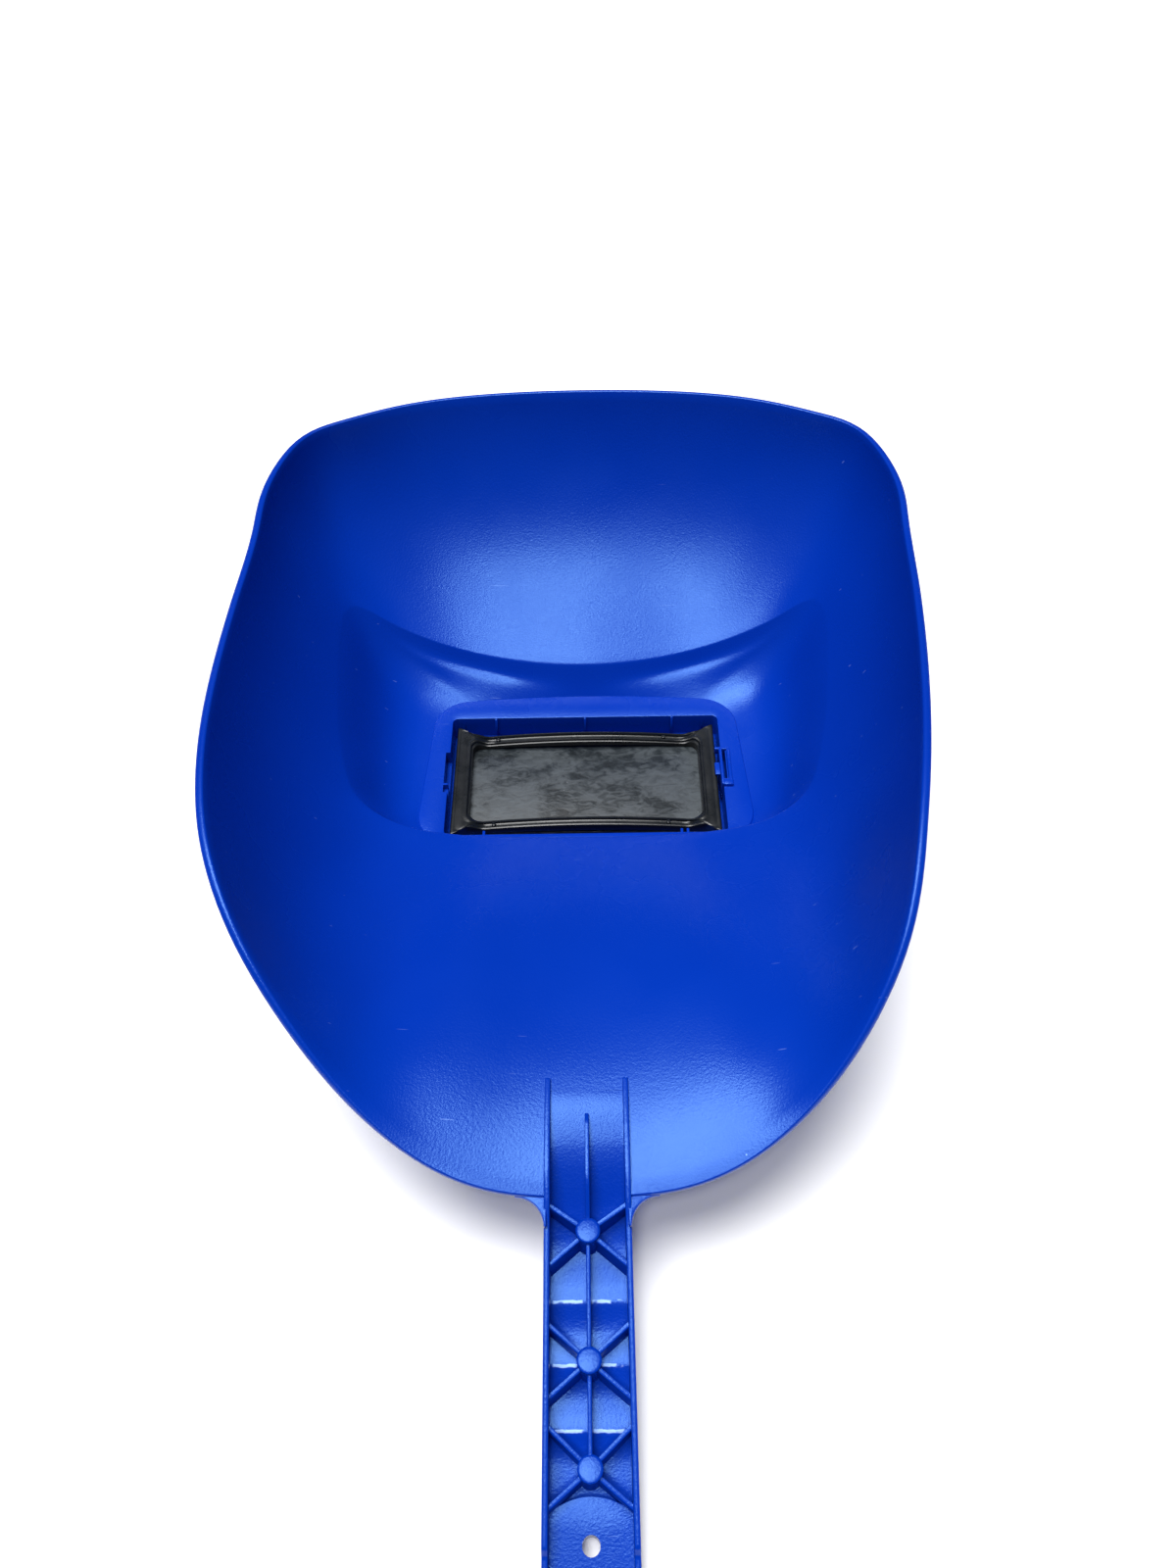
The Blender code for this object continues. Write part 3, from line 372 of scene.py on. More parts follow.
def form_rings(rounded):
    """Half rings of the face side from the panel's foot to the rim, the fold rounded or sharp."""
    form = smooth_columns(np.linspace(0, 1, HALF_COLUMNS + 1))
    rim = np.stack([form["rim_x"] * RIM_HALF_WIDTH, reach_y(form["rim_y"], FOREHEAD_REACH, CHIN_REACH),
                    form["rim_z"] * RIM_HEIGHT], 1)
    fold = np.stack([form["fold_x"] * FOLD_HALF_WIDTH, reach_y(form["fold_y"], BROW_REACH, RIDGE_REACH),
                     form["fold_z"] * FOLD_HEIGHT], 1)
    foot = window_loop(PANEL_HALF_BOTTOM + PANEL_EDGE, PANEL_HALF_TOP + PANEL_EDGE, PANEL_LOW + PANEL_EDGE,
                       PANEL_HIGH + PANEL_EDGE, PANEL_CORNER, PANEL_HEIGHT - PANEL_RAISE, PANEL_CROWN)
    way = rim[:, :2] - foot[:, :2]
    way /= np.linalg.norm(way, axis=1)[:, None]
    way[[0, -1], 0] = 0.0
    pocket, wall = np.linalg.norm(fold - foot, axis=1), np.linalg.norm(rim - fold, axis=1)
    inner = (foot, foot + slope_step(way, form["foot"], pocket * FOOT_HANDLE),
             fold - slope_step(way, form["head"], pocket * FOOT_HANDLE), fold)
    outer = (fold, fold + slope_step(way, form["leave"], wall * FOLD_HANDLE),
             rim - slope_step(way, form["arrive"], wall * RIM_HANDLE), rim)
    if not rounded:
        rings = [bezier(*inner, s) for s in np.linspace(0, 1, POCKET_RINGS + 2)]
        return rings + [bezier(*outer, s) for s in np.linspace(0, 1, SHELL_RINGS + 2)[1:]]
    stop = 1 - FOLD_ROUNDING / (3 * FOOT_HANDLE * pocket)
    start = FOLD_ROUNDING / (3 * FOLD_HANDLE * wall)
    near, far = bezier(*inner, stop), bezier(*outer, start)
    rings = [bezier(*inner, s * stop) for s in np.linspace(0, 1, POCKET_RINGS + 2)[:-1]]
    for s in np.linspace(0, 1, FOLD_RINGS):
        rings.append((1 - s) ** 2 * near + 2 * s * (1 - s) * fold + s ** 2 * far)
    return rings + [bezier(*outer, start + (1 - start) * s) for s in np.linspace(0, 1, SHELL_RINGS + 2)[1:]]


def full_ring(half):
    """Close a half ring by its mirror image."""
    return np.concatenate([half, half[-2:0:-1] * np.array([-1, 1, 1])])


def outward_normals(rings):
    grid = np.array(rings)
    along = np.roll(grid, -1, 1) - np.roll(grid, 1, 1)
    normal = np.cross(along, np.gradient(grid, axis=0))
    normal /= np.linalg.norm(normal, axis=2)[..., None]
    return grid, normal * np.sign(normal[0, 0, 2])


def box_loop(half_width, half_height, corner, height):
    return full_ring(window_loop(half_width, half_width, half_height, half_height, corner, height))


def rounded_edge(before, edge, after, reach):
    """Three rings in place of one, where a wall turns a corner."""
    def towards(ring):
        way = ring - edge
        return edge + way / np.linalg.norm(way, axis=1)[:, None] * reach
    near, far = towards(before), towards(after)
    return [near, (near + far + 2 * edge) / 4, far]


def lofted(name, rings):
    """One closed skin through closed rings, the last ring joined to the first, in metres."""
    count = len(rings[0])
    points = np.concatenate(rings) * MM + np.array(WINDOW)
    faces = []
    for i in range(len(rings)):
        j = (i + 1) % len(rings)
        for k in range(count):
            n = (k + 1) % count
            faces.append((i * count + k, i * count + n, j * count + n, j * count + k))
    mesh = bpy.data.meshes.new(name)
    mesh.from_pydata(points.tolist(), [], faces)
    piece = bpy.data.objects.new(name, mesh)
    bpy.context.scene.collection.objects.link(piece)
    take(piece)
    bpy.ops.object.mode_set(mode="EDIT")
    bpy.ops.mesh.select_all(action="SELECT")
    bpy.ops.mesh.normals_make_consistent(inside=False)
    bpy.ops.object.mode_set(mode="OBJECT")
    return piece


def take(*pieces):
    """Select these pieces and nothing else, the first one active."""
    bpy.ops.object.select_all(action="DESELECT")
    for piece in pieces:
        piece.select_set(True)
    bpy.context.view_layer.objects.active = pieces[0]


def rounded_shell():
    inside = [lean_sideways(full_ring(r)) for r in form_rings(rounded=True)]
    sharp, normal = outward_normals([lean_sideways(full_ring(r)) for r in form_rings(rounded=False)])
    thickness = np.full(len(sharp), WALL)
    thickness[-1] = LIP_WIDTH
    outside = sharp - normal * thickness[:, None, None]
    outside[0][:, 2] = PANEL_HEIGHT - PANEL_RAISE - WALL
    fold = POCKET_RINGS + 1
    for _ in range(FOLD_SMOOTHINGS):
        outside[fold - 2:fold + 3] = (outside[fold - 3:fold + 2] + 2 * outside[fold - 2:fold + 3]
                                      + outside[fold - 1:fold + 4]) / 4
    lip_way = np.cross(normal[-1], np.roll(sharp[-1], -1, 0) - np.roll(sharp[-1], 1, 0))
    lip_way /= np.linalg.norm(lip_way, axis=1)[:, None]
    lip_way *= np.sign(lip_way[HALF_COLUMNS, 2])
    middle, half = (inside[-1] + outside[-1]) / 2, (outside[-1] - inside[-1]) / 2
    lip = [middle - half * math.cos(a) + lip_way * LIP_CROWN * math.sin(a)
           for a in np.linspace(0, math.pi, LIP_RINGS + 2)[1:-1]]
    panel = full_ring(window_loop(PANEL_HALF_BOTTOM, PANEL_HALF_TOP, PANEL_LOW, PANEL_HIGH, PANEL_CORNER,
                                  PANEL_HEIGHT, PANEL_CROWN))
    outer_width, outer_height = BOX_HALF_WIDTH + BOX_WALL, BOX_HALF_HEIGHT + BOX_WALL
    sight_low = box_loop(SIGHT_HALF_WIDTH, SIGHT_HALF_HEIGHT, SIGHT_CORNER, 0.0)
    sight_high = box_loop(SIGHT_HALF_WIDTH, SIGHT_HALF_HEIGHT, SIGHT_CORNER, BOX_FLOOR)
    well_low = box_loop(BOX_HALF_WIDTH, BOX_HALF_HEIGHT, BOX_CORNER, BOX_FLOOR)
    well_high = box_loop(BOX_HALF_WIDTH, BOX_HALF_HEIGHT, BOX_CORNER, PANEL_HEIGHT)
    skirt_high = box_loop(outer_width, outer_height, BOX_CORNER + BOX_WALL, outside[0][0, 2])
    skirt_low = box_loop(outer_width, outer_height, BOX_CORNER + BOX_WALL, 0.0)
    rings = [
        *rounded_edge(skirt_low, sight_low, sight_high, EDGE_ROUNDING),
        *rounded_edge(sight_low, sight_high, well_low, EDGE_ROUNDING),
        well_low,
        *rounded_edge(well_low, well_high, panel, EDGE_ROUNDING),
        *rounded_edge(well_high, panel, inside[0], EDGE_ROUNDING),
        *inside,
        *lip,
        *outside[::-1],
        skirt_high,
        *rounded_edge(skirt_high, skirt_low, sight_low, BOX_EDGE_ROUNDING),
    ]
    return lofted("face_shell", rings)


shell = rounded_shell()

# Handle
# An open U-shaped channel that grows out of the chin in the same shot of plastic. Two flanges run
# up the chin as tapering ribs; a middle rib, three bosses and crossed ribs stiffen it.
HANDLE_HALF_WIDTH, HANDLE_END_WIDENING, HANDLE_LENGTH, HANDLE_DEPTH = 13.2, 0.7, 99.0, 15.0
HANDLE_END_RADIUS = 5.0
FLANGE_THICKNESS, FLANGE_RUN, FLANGE_RISE, FLANGE_TIP_SHARE, FLANGE_BEND = 1.8, 35.8, 3.0, 0.25, 9.0
FLANGE_STEP, FLANGE_STEP_FROM_END = 2.0, 11.1
FLOOR_WALL, FLOOR_START = 2.4, 32.0
GRIP_PITCH, GRIP_DEPTH, GRIP_START, GRIP_COUNT, GRIP_RIDGE_ROUNDING = 16.4, 1.5, 25.2, 3, 0.14
ROOT_FILLET, FILLET_SINK = 9.0, 0.5
BOSS_DIAMETER, BOSS_BELOW_FLANGE = 7.4, 2.2
BOSS_DOME = ((0.22, 0.20), (0.20, 0.10), (0.45, 0.06), (0.9, 0.07), (1.1, 0.06))
RIB_THICKNESS, RIB_BELOW_FLANGE = 1.3, 3.2
CENTRE_RIB_RUN, CENTRE_RIB_RISE, CENTRE_RIB_TIP_SHARE, CENTRE_RIB_BEND = 24.4, 1.8, 0.4, 6.4
PLATEAU_FROM_END, PLATEAU_RAISE, PLATEAU_ARCH, PLATEAU_ROUNDING = 23.0, 3.4, 4.2, 0.5
HOLE_DIAMETER, HOLE_FROM_END, DRILL_DEPTH = 5.2, 13.4, 80.0
BOSS_COLUMNS = ("from_root", "arm_up", "arm_down")
BOSSES = ((0.088, 0.076, 0.094), (0.426, 0.099, 0.096), (0.692, 0.110, 0.096))
RIB_EDGE_ROUNDING, FLANGE_EDGE_ROUNDING, FILLET_EDGE_ROUNDING = 0.22, 0.33, 0.44
HANDLE_CUTS, SPINE_CUTS, RIB_CUTS, ROUND_SIDES = 200, 90, 7, 48
OVERLAP = 0.05
CORNER_CUT_LOW, CORNER_CUT_HIGH, CUT_MARGIN = -40, 60, 1
# Pale streaks on the handle's finger ridges: partly rubbed wear, partly a painted highlight on the ridge
# tops.
STREAK_TURNS, STREAK_EDGE, STREAK_WOBBLE = ((-0.2, -0.1), (2.2, 2.1)), (0.035, 0.015), 0.05
STREAK_BELOW, STREAK_ABOVE = (-1.5, -1.0), (0.9, 0.5)
STREAK_FROM_WALL, STREAK_FROM_SPINE = (10.8, 10.0), (1.0, 1.8)
HANDLE_ROOT_Y = -CHIN_REACH
HANDLE_ROOT_Z = RIM_HEIGHT * RIBS[0][RIB_COLUMNS.index("rim_z")]
HANDLE_END_Y = HANDLE_ROOT_Y - HANDLE_LENGTH
HANDLE_SLOPE = (HANDLE_ROOT_Z - HANDLE_DEPTH) / HANDLE_LENGTH
chin_middle = np.array([ring[0] for ring in form_rings(rounded=False)[POCKET_RINGS + 1:]])


def chin_height(y):
    """Height of the face side along the middle of the chin."""
    return np.interp(-y, -chin_middle[:, 1], chin_middle[:, 2])


def flange_line(y):
    return HANDLE_ROOT_Z - HANDLE_SLOPE * (HANDLE_ROOT_Y - y)


def flange_top(y):
    """The flanges rise out of the chin, bend at the root and step down before the end."""
    share = (HANDLE_ROOT_Y + FLANGE_RUN - y) / FLANGE_RUN
    rise = np.clip(FLANGE_TIP_SHARE + (1 - FLANGE_TIP_SHARE) * share, 0, 1)
    on_chin = chin_height(np.maximum(y, HANDLE_ROOT_Y)) + FLANGE_RISE * np.sqrt(rise)
    blend = ease((HANDLE_ROOT_Y + FLANGE_BEND - y) / (FLANGE_BEND * 2))
    top = (1 - blend) * on_chin + blend * np.minimum(flange_line(y), on_chin)
    return top - FLANGE_STEP * ease((HANDLE_END_Y + FLANGE_STEP_FROM_END - y) / FLANGE_STEP + 0.5)


def grip_wave(y):
    """Finger rests of the handle: 1 at the narrow ridges between them, 0 in the middle of each."""
    turns = (HANDLE_ROOT_Y - GRIP_START - y) / GRIP_PITCH
    fade = ease(turns + 1) * ease(GRIP_COUNT - turns)
    return fade * (1 - np.sqrt(np.sin(math.pi * turns) ** 2 + GRIP_RIDGE_ROUNDING ** 2))


def under_line(y):
    """Outside of the handle's floor, from the chin's wall down to the table at its end."""
    straight = HANDLE_SLOPE * (y - HANDLE_END_Y) + GRIP_DEPTH * grip_wave(y)
    from_chin = chin_height(np.maximum(y, HANDLE_ROOT_Y)) - FLOOR_WALL
    share = ease((HANDLE_ROOT_Y + FLOOR_START - y) / (FLOOR_START + HANDLE_HALF_WIDTH))
    return np.maximum((1 - share) * from_chin + share * straight, 0.0)


def floor_line(y):
    return under_line(y) + FLOOR_WALL


def ridge_wear_and_highlight(finish):
    """Pale broken streaks on the finger ridges in the handle's floor: partly rubbed wear, partly a painted
    highlight on the ridge tops.
    """
    split = finish.add("ShaderNodeSeparateXYZ")
    finish.join(finish.place, split.inputs["Vector"])
    x, y, z = (split.outputs[axis] for axis in "XYZ")

    def between(value, rise, fall, unit=1.0):
        fades = [finish.ramp(value, start * unit, end * unit) for start, end in (rise, fall)]
        return finish.sum(*fades, "MULTIPLY")

    first = (HANDLE_ROOT_Y - GRIP_START) * MM + WINDOW.y
    turns = finish.sum(finish.sum(first, y, "SUBTRACT"), GRIP_PITCH * MM, "DIVIDE")
    wobble = finish.sum(finish.sum(finish.noise(420.0, 2.0), 0.5, "SUBTRACT"), STREAK_WOBBLE, "MULTIPLY")
    streak = finish.ramp(finish.sum(finish.sum(turns, wobble), 0.5, "PINGPONG"), *STREAK_EDGE)
    end = HANDLE_END_Y * MM + WINDOW.y
    straight = finish.sum(finish.sum(y, end, "SUBTRACT"), HANDLE_SLOPE, "MULTIPLY")
    above = finish.sum(finish.sum(z, straight, "SUBTRACT"), (FLOOR_WALL + GRIP_DEPTH) * MM, "SUBTRACT")
    from_spine = finish.sum(x, 0.0, "ABSOLUTE")
    masks = (between(turns, *STREAK_TURNS), between(above, STREAK_BELOW, STREAK_ABOVE, MM),
             between(from_spine, STREAK_FROM_WALL, STREAK_FROM_SPINE, MM),
             finish.ramp(finish.noise(260.0, 2.0), 0.36, 0.50))
    for mask in masks:
        streak = finish.sum(streak, mask, "MULTIPLY")
    return streak


def half_width(y):
    return HANDLE_HALF_WIDTH + HANDLE_END_WIDENING * np.clip((HANDLE_ROOT_Y - y) / HANDLE_LENGTH, 0, 1)


def row_bar(name, x_low, x_high, y_start, y_end, low, high, cuts):
    """A bar along the handle: a cube cut across many times, its top and underside then shaped."""
    x, y = (x_low + x_high) / 2, (y_start + y_end) / 2
    bpy.ops.object.select_all(action="DESELECT")
    bpy.ops.mesh.primitive_cube_add(size=1, location=(0, 0, 0))
    bar = bpy.context.object
    bar.name = name
    bpy.ops.object.mode_set(mode="EDIT")
    bpy.ops.transform.resize(value=(x_high - x_low, abs(y_start - y_end), 1))
    bpy.ops.transform.translate(value=(x, y, 0))
    for place in np.linspace(y_start, y_end, cuts + 2)[1:-1]:
        bpy.ops.mesh.select_all(action="SELECT")
        bpy.ops.mesh.bisect(plane_co=(0, place, 0), plane_no=(0, 1, 0), clear_inner=False)
    bpy.ops.object.mode_set(mode="OBJECT")
    for vertex in bar.data.vertices:
        level = high if vertex.co.z > 0 else low
        vertex.co.z = float(level(vertex.co.y))
    return bar


def set_down(piece):
    """From millimetres round the window to metres in the mask's own frame."""
    piece.data.transform(Matrix.Translation(WINDOW) @ Matrix.Scale(MM, 4))


def soften(piece, width, segments=2, angle=40.0):
    bevel = piece.modifiers.new("soft_edges", "BEVEL")
    bevel.width = width
    bevel.segments = segments
    bevel.limit_method = "ANGLE"
    bevel.angle_limit = math.radians(angle)
    take(piece)
    bpy.ops.object.modifier_apply(modifier=bevel.name)


def weld(base, tools, operation="UNION"):
    """Join or cut a piece with others in one step, and remove them."""
    group = bpy.data.collections.new("tools")
    for tool in tools:
        group.objects.link(tool)
    step = base.modifiers.new("weld", "BOOLEAN")
    step.operation = operation
    step.operand_type = "COLLECTION"
    step.collection = group
    step.solver = "EXACT"
    step.use_self = operation == "UNION"
    take(base)
    bpy.ops.object.modifier_apply(modifier=step.name)
    for tool in tools:
        bpy.data.objects.remove(tool, do_unlink=True)
    bpy.data.collections.remove(group)


def flip(piece):
    """Turn a mirrored bar's faces outwards again."""
    take(piece)
    bpy.ops.object.mode_set(mode="EDIT")
    bpy.ops.mesh.select_all(action="SELECT")
    bpy.ops.mesh.normals_make_consistent(inside=False)
    bpy.ops.object.mode_set(mode="OBJECT")


def flange_foot(y):
    return under_line(y) if y < HANDLE_ROOT_Y + FLOOR_START else chin_height(y) - WALL / 2


def handle_pieces():
    start, end = HANDLE_ROOT_Y + FLOOR_START + WALL, HANDLE_END_Y
    slab = row_bar("floor", -1, 1, start, end, under_line, floor_line, HANDLE_CUTS)
    for vertex in slab.data.vertices:
        vertex.co.x *= half_width(vertex.co.y) - FLANGE_THICKNESS / 2
    pieces = [slab]
    for side in (-1, 1):
        flange = row_bar("flange", 0, 1, HANDLE_ROOT_Y + FLANGE_RUN, end, flange_foot, flange_top,
                         HANDLE_CUTS)
        for vertex in flange.data.vertices:
            vertex.co.x = side * (half_width(vertex.co.y) - FLANGE_THICKNESS * vertex.co.x)
        if side > 0:
            flip(flange)
        soften(flange, FLANGE_EDGE_ROUNDING)
        pieces.append(flange)
    return pieces


def cross_wall(start, end, low, high):
    """An upright rib between two places in X and Y."""
    start, end = Vector(start), Vector(end)
    run = end - start
    half = RIB_THICKNESS / 2
    wall = row_bar("rib", -half, half, 0, run.length, lambda y: 0, lambda y: 1, RIB_CUTS)
    turn = Matrix.Rotation(math.atan2(run.y, run.x) - math.pi / 2, 4, "Z")
    wall.data.transform(Matrix.Translation((start.x, start.y, 0)) @ turn)
    for vertex in wall.data.vertices:
        level = high if vertex.co.z > 0.5 else low
        vertex.co.z = float(level(vertex.co.y))
    soften(wall, RIB_EDGE_ROUNDING)
    return wall


def rib_low(y):
    return under_line(y) + FLOOR_WALL / 3


def rib_top(y):
    return flange_line(y) - RIB_BELOW_FLANGE


def stiffeners():
    pieces = []
    rows = [dict(zip(BOSS_COLUMNS, row)) for row in BOSSES]
    places = [HANDLE_ROOT_Y - row["from_root"] * HANDLE_LENGTH for row in rows]

    def middle_low(y):
        return rib_low(y) if y < HANDLE_ROOT_Y + FLOOR_START else chin_height(y) - WALL / 2

    def middle_top(y):
        rise = ease((HANDLE_ROOT_Y + CENTRE_RIB_RUN - y) / RIB_BELOW_FLANGE)
        share = CENTRE_RIB_TIP_SHARE + (1 - CENTRE_RIB_TIP_SHARE) * rise
        on_chin = chin_height(max(y, HANDLE_ROOT_Y)) + share * CENTRE_RIB_RISE
        blend = ease((HANDLE_ROOT_Y + CENTRE_RIB_BEND - y) / (CENTRE_RIB_BEND * 2))
        return (1 - blend) * on_chin + blend * (rib_top(y) + OVERLAP)

    spine = row_bar("spine", -RIB_THICKNESS / 2, RIB_THICKNESS / 2, HANDLE_ROOT_Y + CENTRE_RIB_RUN,
                    places[-1], middle_low, middle_top, SPINE_CUTS)
    soften(spine, RIB_EDGE_ROUNDING)
    pieces.append(spine)
    for row, y in zip(rows, places):
        top = flange_line(y) - BOSS_BELOW_FLANGE
        foot = float(rib_low(y))
        bpy.ops.object.select_all(action="DESELECT")
        bpy.ops.mesh.primitive_cylinder_add(vertices=ROUND_SIDES, radius=BOSS_DIAMETER / 2,
                                            depth=top - foot)
        boss = bpy.context.object
        boss.data.transform(Matrix.Translation((0, y, (top + foot) / 2)))
        bpy.ops.object.mode_set(mode="EDIT")
        bpy.ops.mesh.select_all(action="DESELECT")
        bpy.ops.object.mode_set(mode="OBJECT")
        for face in boss.data.polygons:
            face.select = face.normal.z > 0.9
        bpy.ops.object.mode_set(mode="EDIT")
        for inset, rise in BOSS_DOME:
            bpy.ops.mesh.inset(thickness=inset)
            bpy.ops.transform.translate(value=(0, 0, rise))
        bpy.ops.object.mode_set(mode="OBJECT")
        for vertex in boss.data.vertices:
            if vertex.co.z < foot + 0.01:
                vertex.co.z = float(rib_low(vertex.co.y))
        pieces.append(boss)
        for arm in (row["arm_up"], -row["arm_down"]):
            for side in (-1, 1):
                end = Vector((side * (half_width(y) - FLANGE_THICKNESS / 2), y + arm * HANDLE_LENGTH))
                middle = Vector((0, y))
                start = middle + (end - middle).normalized() * RIB_THICKNESS
                pieces.append(cross_wall(start, end, rib_low, rib_top))
    return pieces


def end_wall():
    half = half_width(HANDLE_END_Y) - FLANGE_THICKNESS / 2
    inner = HANDLE_END_Y + FLANGE_THICKNESS
    return row_bar("end_wall", -half, half, inner, HANDLE_END_Y + OVERLAP, lambda y: FLOOR_WALL / 2,
                   lambda y: flange_top(HANDLE_END_Y) - OVERLAP, 0)


def plate(name, outline, low, high):
    """A flat outline in X and Y, pulled up to a height."""
    mesh = bpy.data.meshes.new(name)
    mesh.from_pydata([(x, y, low) for x, y in outline], [], [tuple(range(len(outline)))])
    piece = bpy.data.objects.new(name, mesh)
    bpy.context.scene.collection.objects.link(piece)
    take(piece)
    bpy.ops.object.mode_set(mode="EDIT")
    bpy.ops.mesh.select_all(action="SELECT")
    bpy.ops.mesh.extrude_region_move(TRANSFORM_OT_translate={"value": (0, 0, high - low)})
    bpy.ops.mesh.select_all(action="SELECT")
    bpy.ops.mesh.normals_make_consistent(inside=False)
    bpy.ops.object.mode_set(mode="OBJECT")
    return piece


def plateau():
    """The raised end of the floor with an arched front edge, where the hanging hole goes through."""
    half = half_width(HANDLE_END_Y) - FLANGE_THICKNESS / 2
    front = HANDLE_END_Y + PLATEAU_FROM_END
    rear = HANDLE_END_Y + FLANGE_THICKNESS / 2
    outline = [(x, front + PLATEAU_ARCH * (0.5 - (x / half) ** 2)) for x in np.linspace(-half, half, 25)]
    outline += [(half, rear), (-half, rear)]
    raised = plate("plateau", outline, 0, 1)
    for vertex in raised.data.vertices:
        up = PLATEAU_RAISE if vertex.co.z > 0.5 else -FLOOR_WALL / 2
        vertex.co.z = float(floor_line(vertex.co.y)) + up
    soften(raised, PLATEAU_ROUNDING, 3)
    return raised


def root_fillets():
    """Round inner corners where the rim meets the handle."""
    angle = np.linspace(0, math.pi / 2, 17)
    pieces = []
    for side in (-1, 1):
        edge = half_width(HANDLE_ROOT_Y)
        middle_x, middle_y = edge + ROOT_FILLET, HANDLE_ROOT_Y - ROOT_FILLET
        arc = [(side * (middle_x - ROOT_FILLET * math.cos(a)), middle_y + ROOT_FILLET * math.sin(a))
               for a in angle]
        inner_x, inner_y = side * (edge - FLANGE_THICKNESS / 2), HANDLE_ROOT_Y + WALL
        inner = [(side * middle_x, inner_y), (inner_x, inner_y), (inner_x, middle_y)]
        fillet = plate("fillet", arc + inner, HANDLE_ROOT_Z - WALL, HANDLE_ROOT_Z - FILLET_SINK)
        soften(fillet, FILLET_EDGE_ROUNDING)
        pieces.append(fillet)
    return pieces


# Window fittings
# Thin ribs in the box keep the lens holder in its middle. On the right a double-ribbed snap latch
# stands in a slot of the box's wall; on the left its mate is a plain slot with a small notch.
HOLDER_TOP, HOLDER_HALF_WIDTH, HOLDER_HALF_HEIGHT = 11.1, 56.5, 29.5
BOX_RIB_WIDTH, BOX_RIB_GAP, BOX_RIB_LOW, BOX_RIB_SLOPE, BOX_RIB_ROUNDING = 1.1, 0.3, 7.5, 1.7, 0.2
TOP_RIB_PLACES = (-39.5, 0.0, 38.5)
CORNER_RIB_PLACES, CORNER_RIB_PULL = (-54.2, 52.2), 1.4
BOTTOM_RIB_PLACES = (-42.0, 39.5, 42.0)
LATCH_LOW, LATCH_HIGH, LATCH_TOP = -8.0, 12.6, 15.4
LATCH_RIBS = ((58.3, 0.65), (61.6, 0.75))
SLOT_LOW, SLOT_HIGH, SLOT_FLOOR = -4.6, 12.4, 7.0


def block(name, low, high, rounding=0.0):
    """A bevelled box between two corners."""
    bpy.ops.object.select_all(action="DESELECT")
    bpy.ops.mesh.primitive_cube_add(size=1)
    piece = bpy.context.object
    piece.name = name
    bpy.ops.object.mode_set(mode="EDIT")
    bpy.ops.transform.resize(value=[b - a for a, b in zip(low, high)])
    bpy.ops.transform.translate(value=[(a + b) / 2 for a, b in zip(low, high)])
    bpy.ops.object.mode_set(mode="OBJECT")
    if rounding:
        soften(piece, rounding, 3)
    return piece


def box_ribs():
    """Upright ribs on the box's long walls; the upper ones slope back towards their tops."""
    rows = [(1, x, 0.0) for x in TOP_RIB_PLACES] + [(-1, x, 0.0) for x in BOTTOM_RIB_PLACES]
    rows += [(1, x, CORNER_RIB_PULL) for x in CORNER_RIB_PLACES]
    pieces = []
    for side, x, pull in rows:
        seat, root = HOLDER_HALF_HEIGHT + BOX_RIB_GAP + pull, BOX_HALF_HEIGHT + BOX_WALL / 2
        near, far = sorted((side * seat, side * root))
        rib = block("box_rib", (x - BOX_RIB_WIDTH / 2, near, BOX_RIB_LOW),
                    (x + BOX_RIB_WIDTH / 2, far, PANEL_HEIGHT - PANEL_RAISE / 2))
        for vertex in rib.data.vertices:
            if side > 0 and abs(vertex.co.y) < BOX_HALF_HEIGHT and vertex.co.z > BOX_RIB_LOW + 1:
                vertex.co.y += BOX_RIB_SLOPE
        soften(rib, BOX_RIB_ROUNDING)
        pieces.append(rib)
    return pieces


def latch():
    """Two upright ribs, joined at a head and a foot, and the nose that holds the lens holder down."""
    (inner_x, inner_half), (outer_x, outer_half) = LATCH_RIBS
    on_panel, outer_side = PANEL_HEIGHT - WALL / 2, outer_x + outer_half
    over_holder = HOLDER_TOP + 0.4
    return [
        block("latch_inner_rib", (inner_x - inner_half, LATCH_LOW, SLOT_FLOOR - 1.5),
              (inner_x + inner_half, LATCH_HIGH, LATCH_TOP), 0.45),
        block("latch_outer_rib", (outer_x - outer_half, LATCH_LOW, on_panel),
              (outer_side, LATCH_HIGH - 0.6, LATCH_TOP), 0.5),
        block("latch_foot", (inner_x, LATCH_LOW - 0.5, on_panel),
              (outer_side + 0.3, LATCH_LOW + 3.0, LATCH_TOP + 0.2), 0.6),
        block("latch_head", (HOLDER_HALF_WIDTH - 0.6, LATCH_HIGH - 1.2, over_holder),
              (outer_x, LATCH_HIGH + 0.1, LATCH_TOP - 0.3), 0.35),
        block("latch_nose", (HOLDER_HALF_WIDTH - 0.9, -0.6, over_holder),
              (inner_x, 6.0, HOLDER_TOP + 1.6), 0.4),
    ]


def window_slots():
    """Cuts in the box's short walls: one behind the latch, one for its mate and a small notch."""
    inside, wall, above = BOX_HALF_WIDTH - 1, BOX_HALF_WIDTH + BOX_WALL - 0.5, PANEL_HEIGHT + 2
    return [
        block("right_slot", (inside, LATCH_LOW + 2, SLOT_FLOOR), (wall, LATCH_HIGH - 0.8, above)),
        block("left_slot", (-wall, SLOT_LOW, SLOT_FLOOR), (-inside, SLOT_HIGH, above)),
        block("catch_slot", (-wall, SLOT_LOW - 4.9, HOLDER_TOP), (-inside, SLOT_LOW - 1.0, above)),
    ]


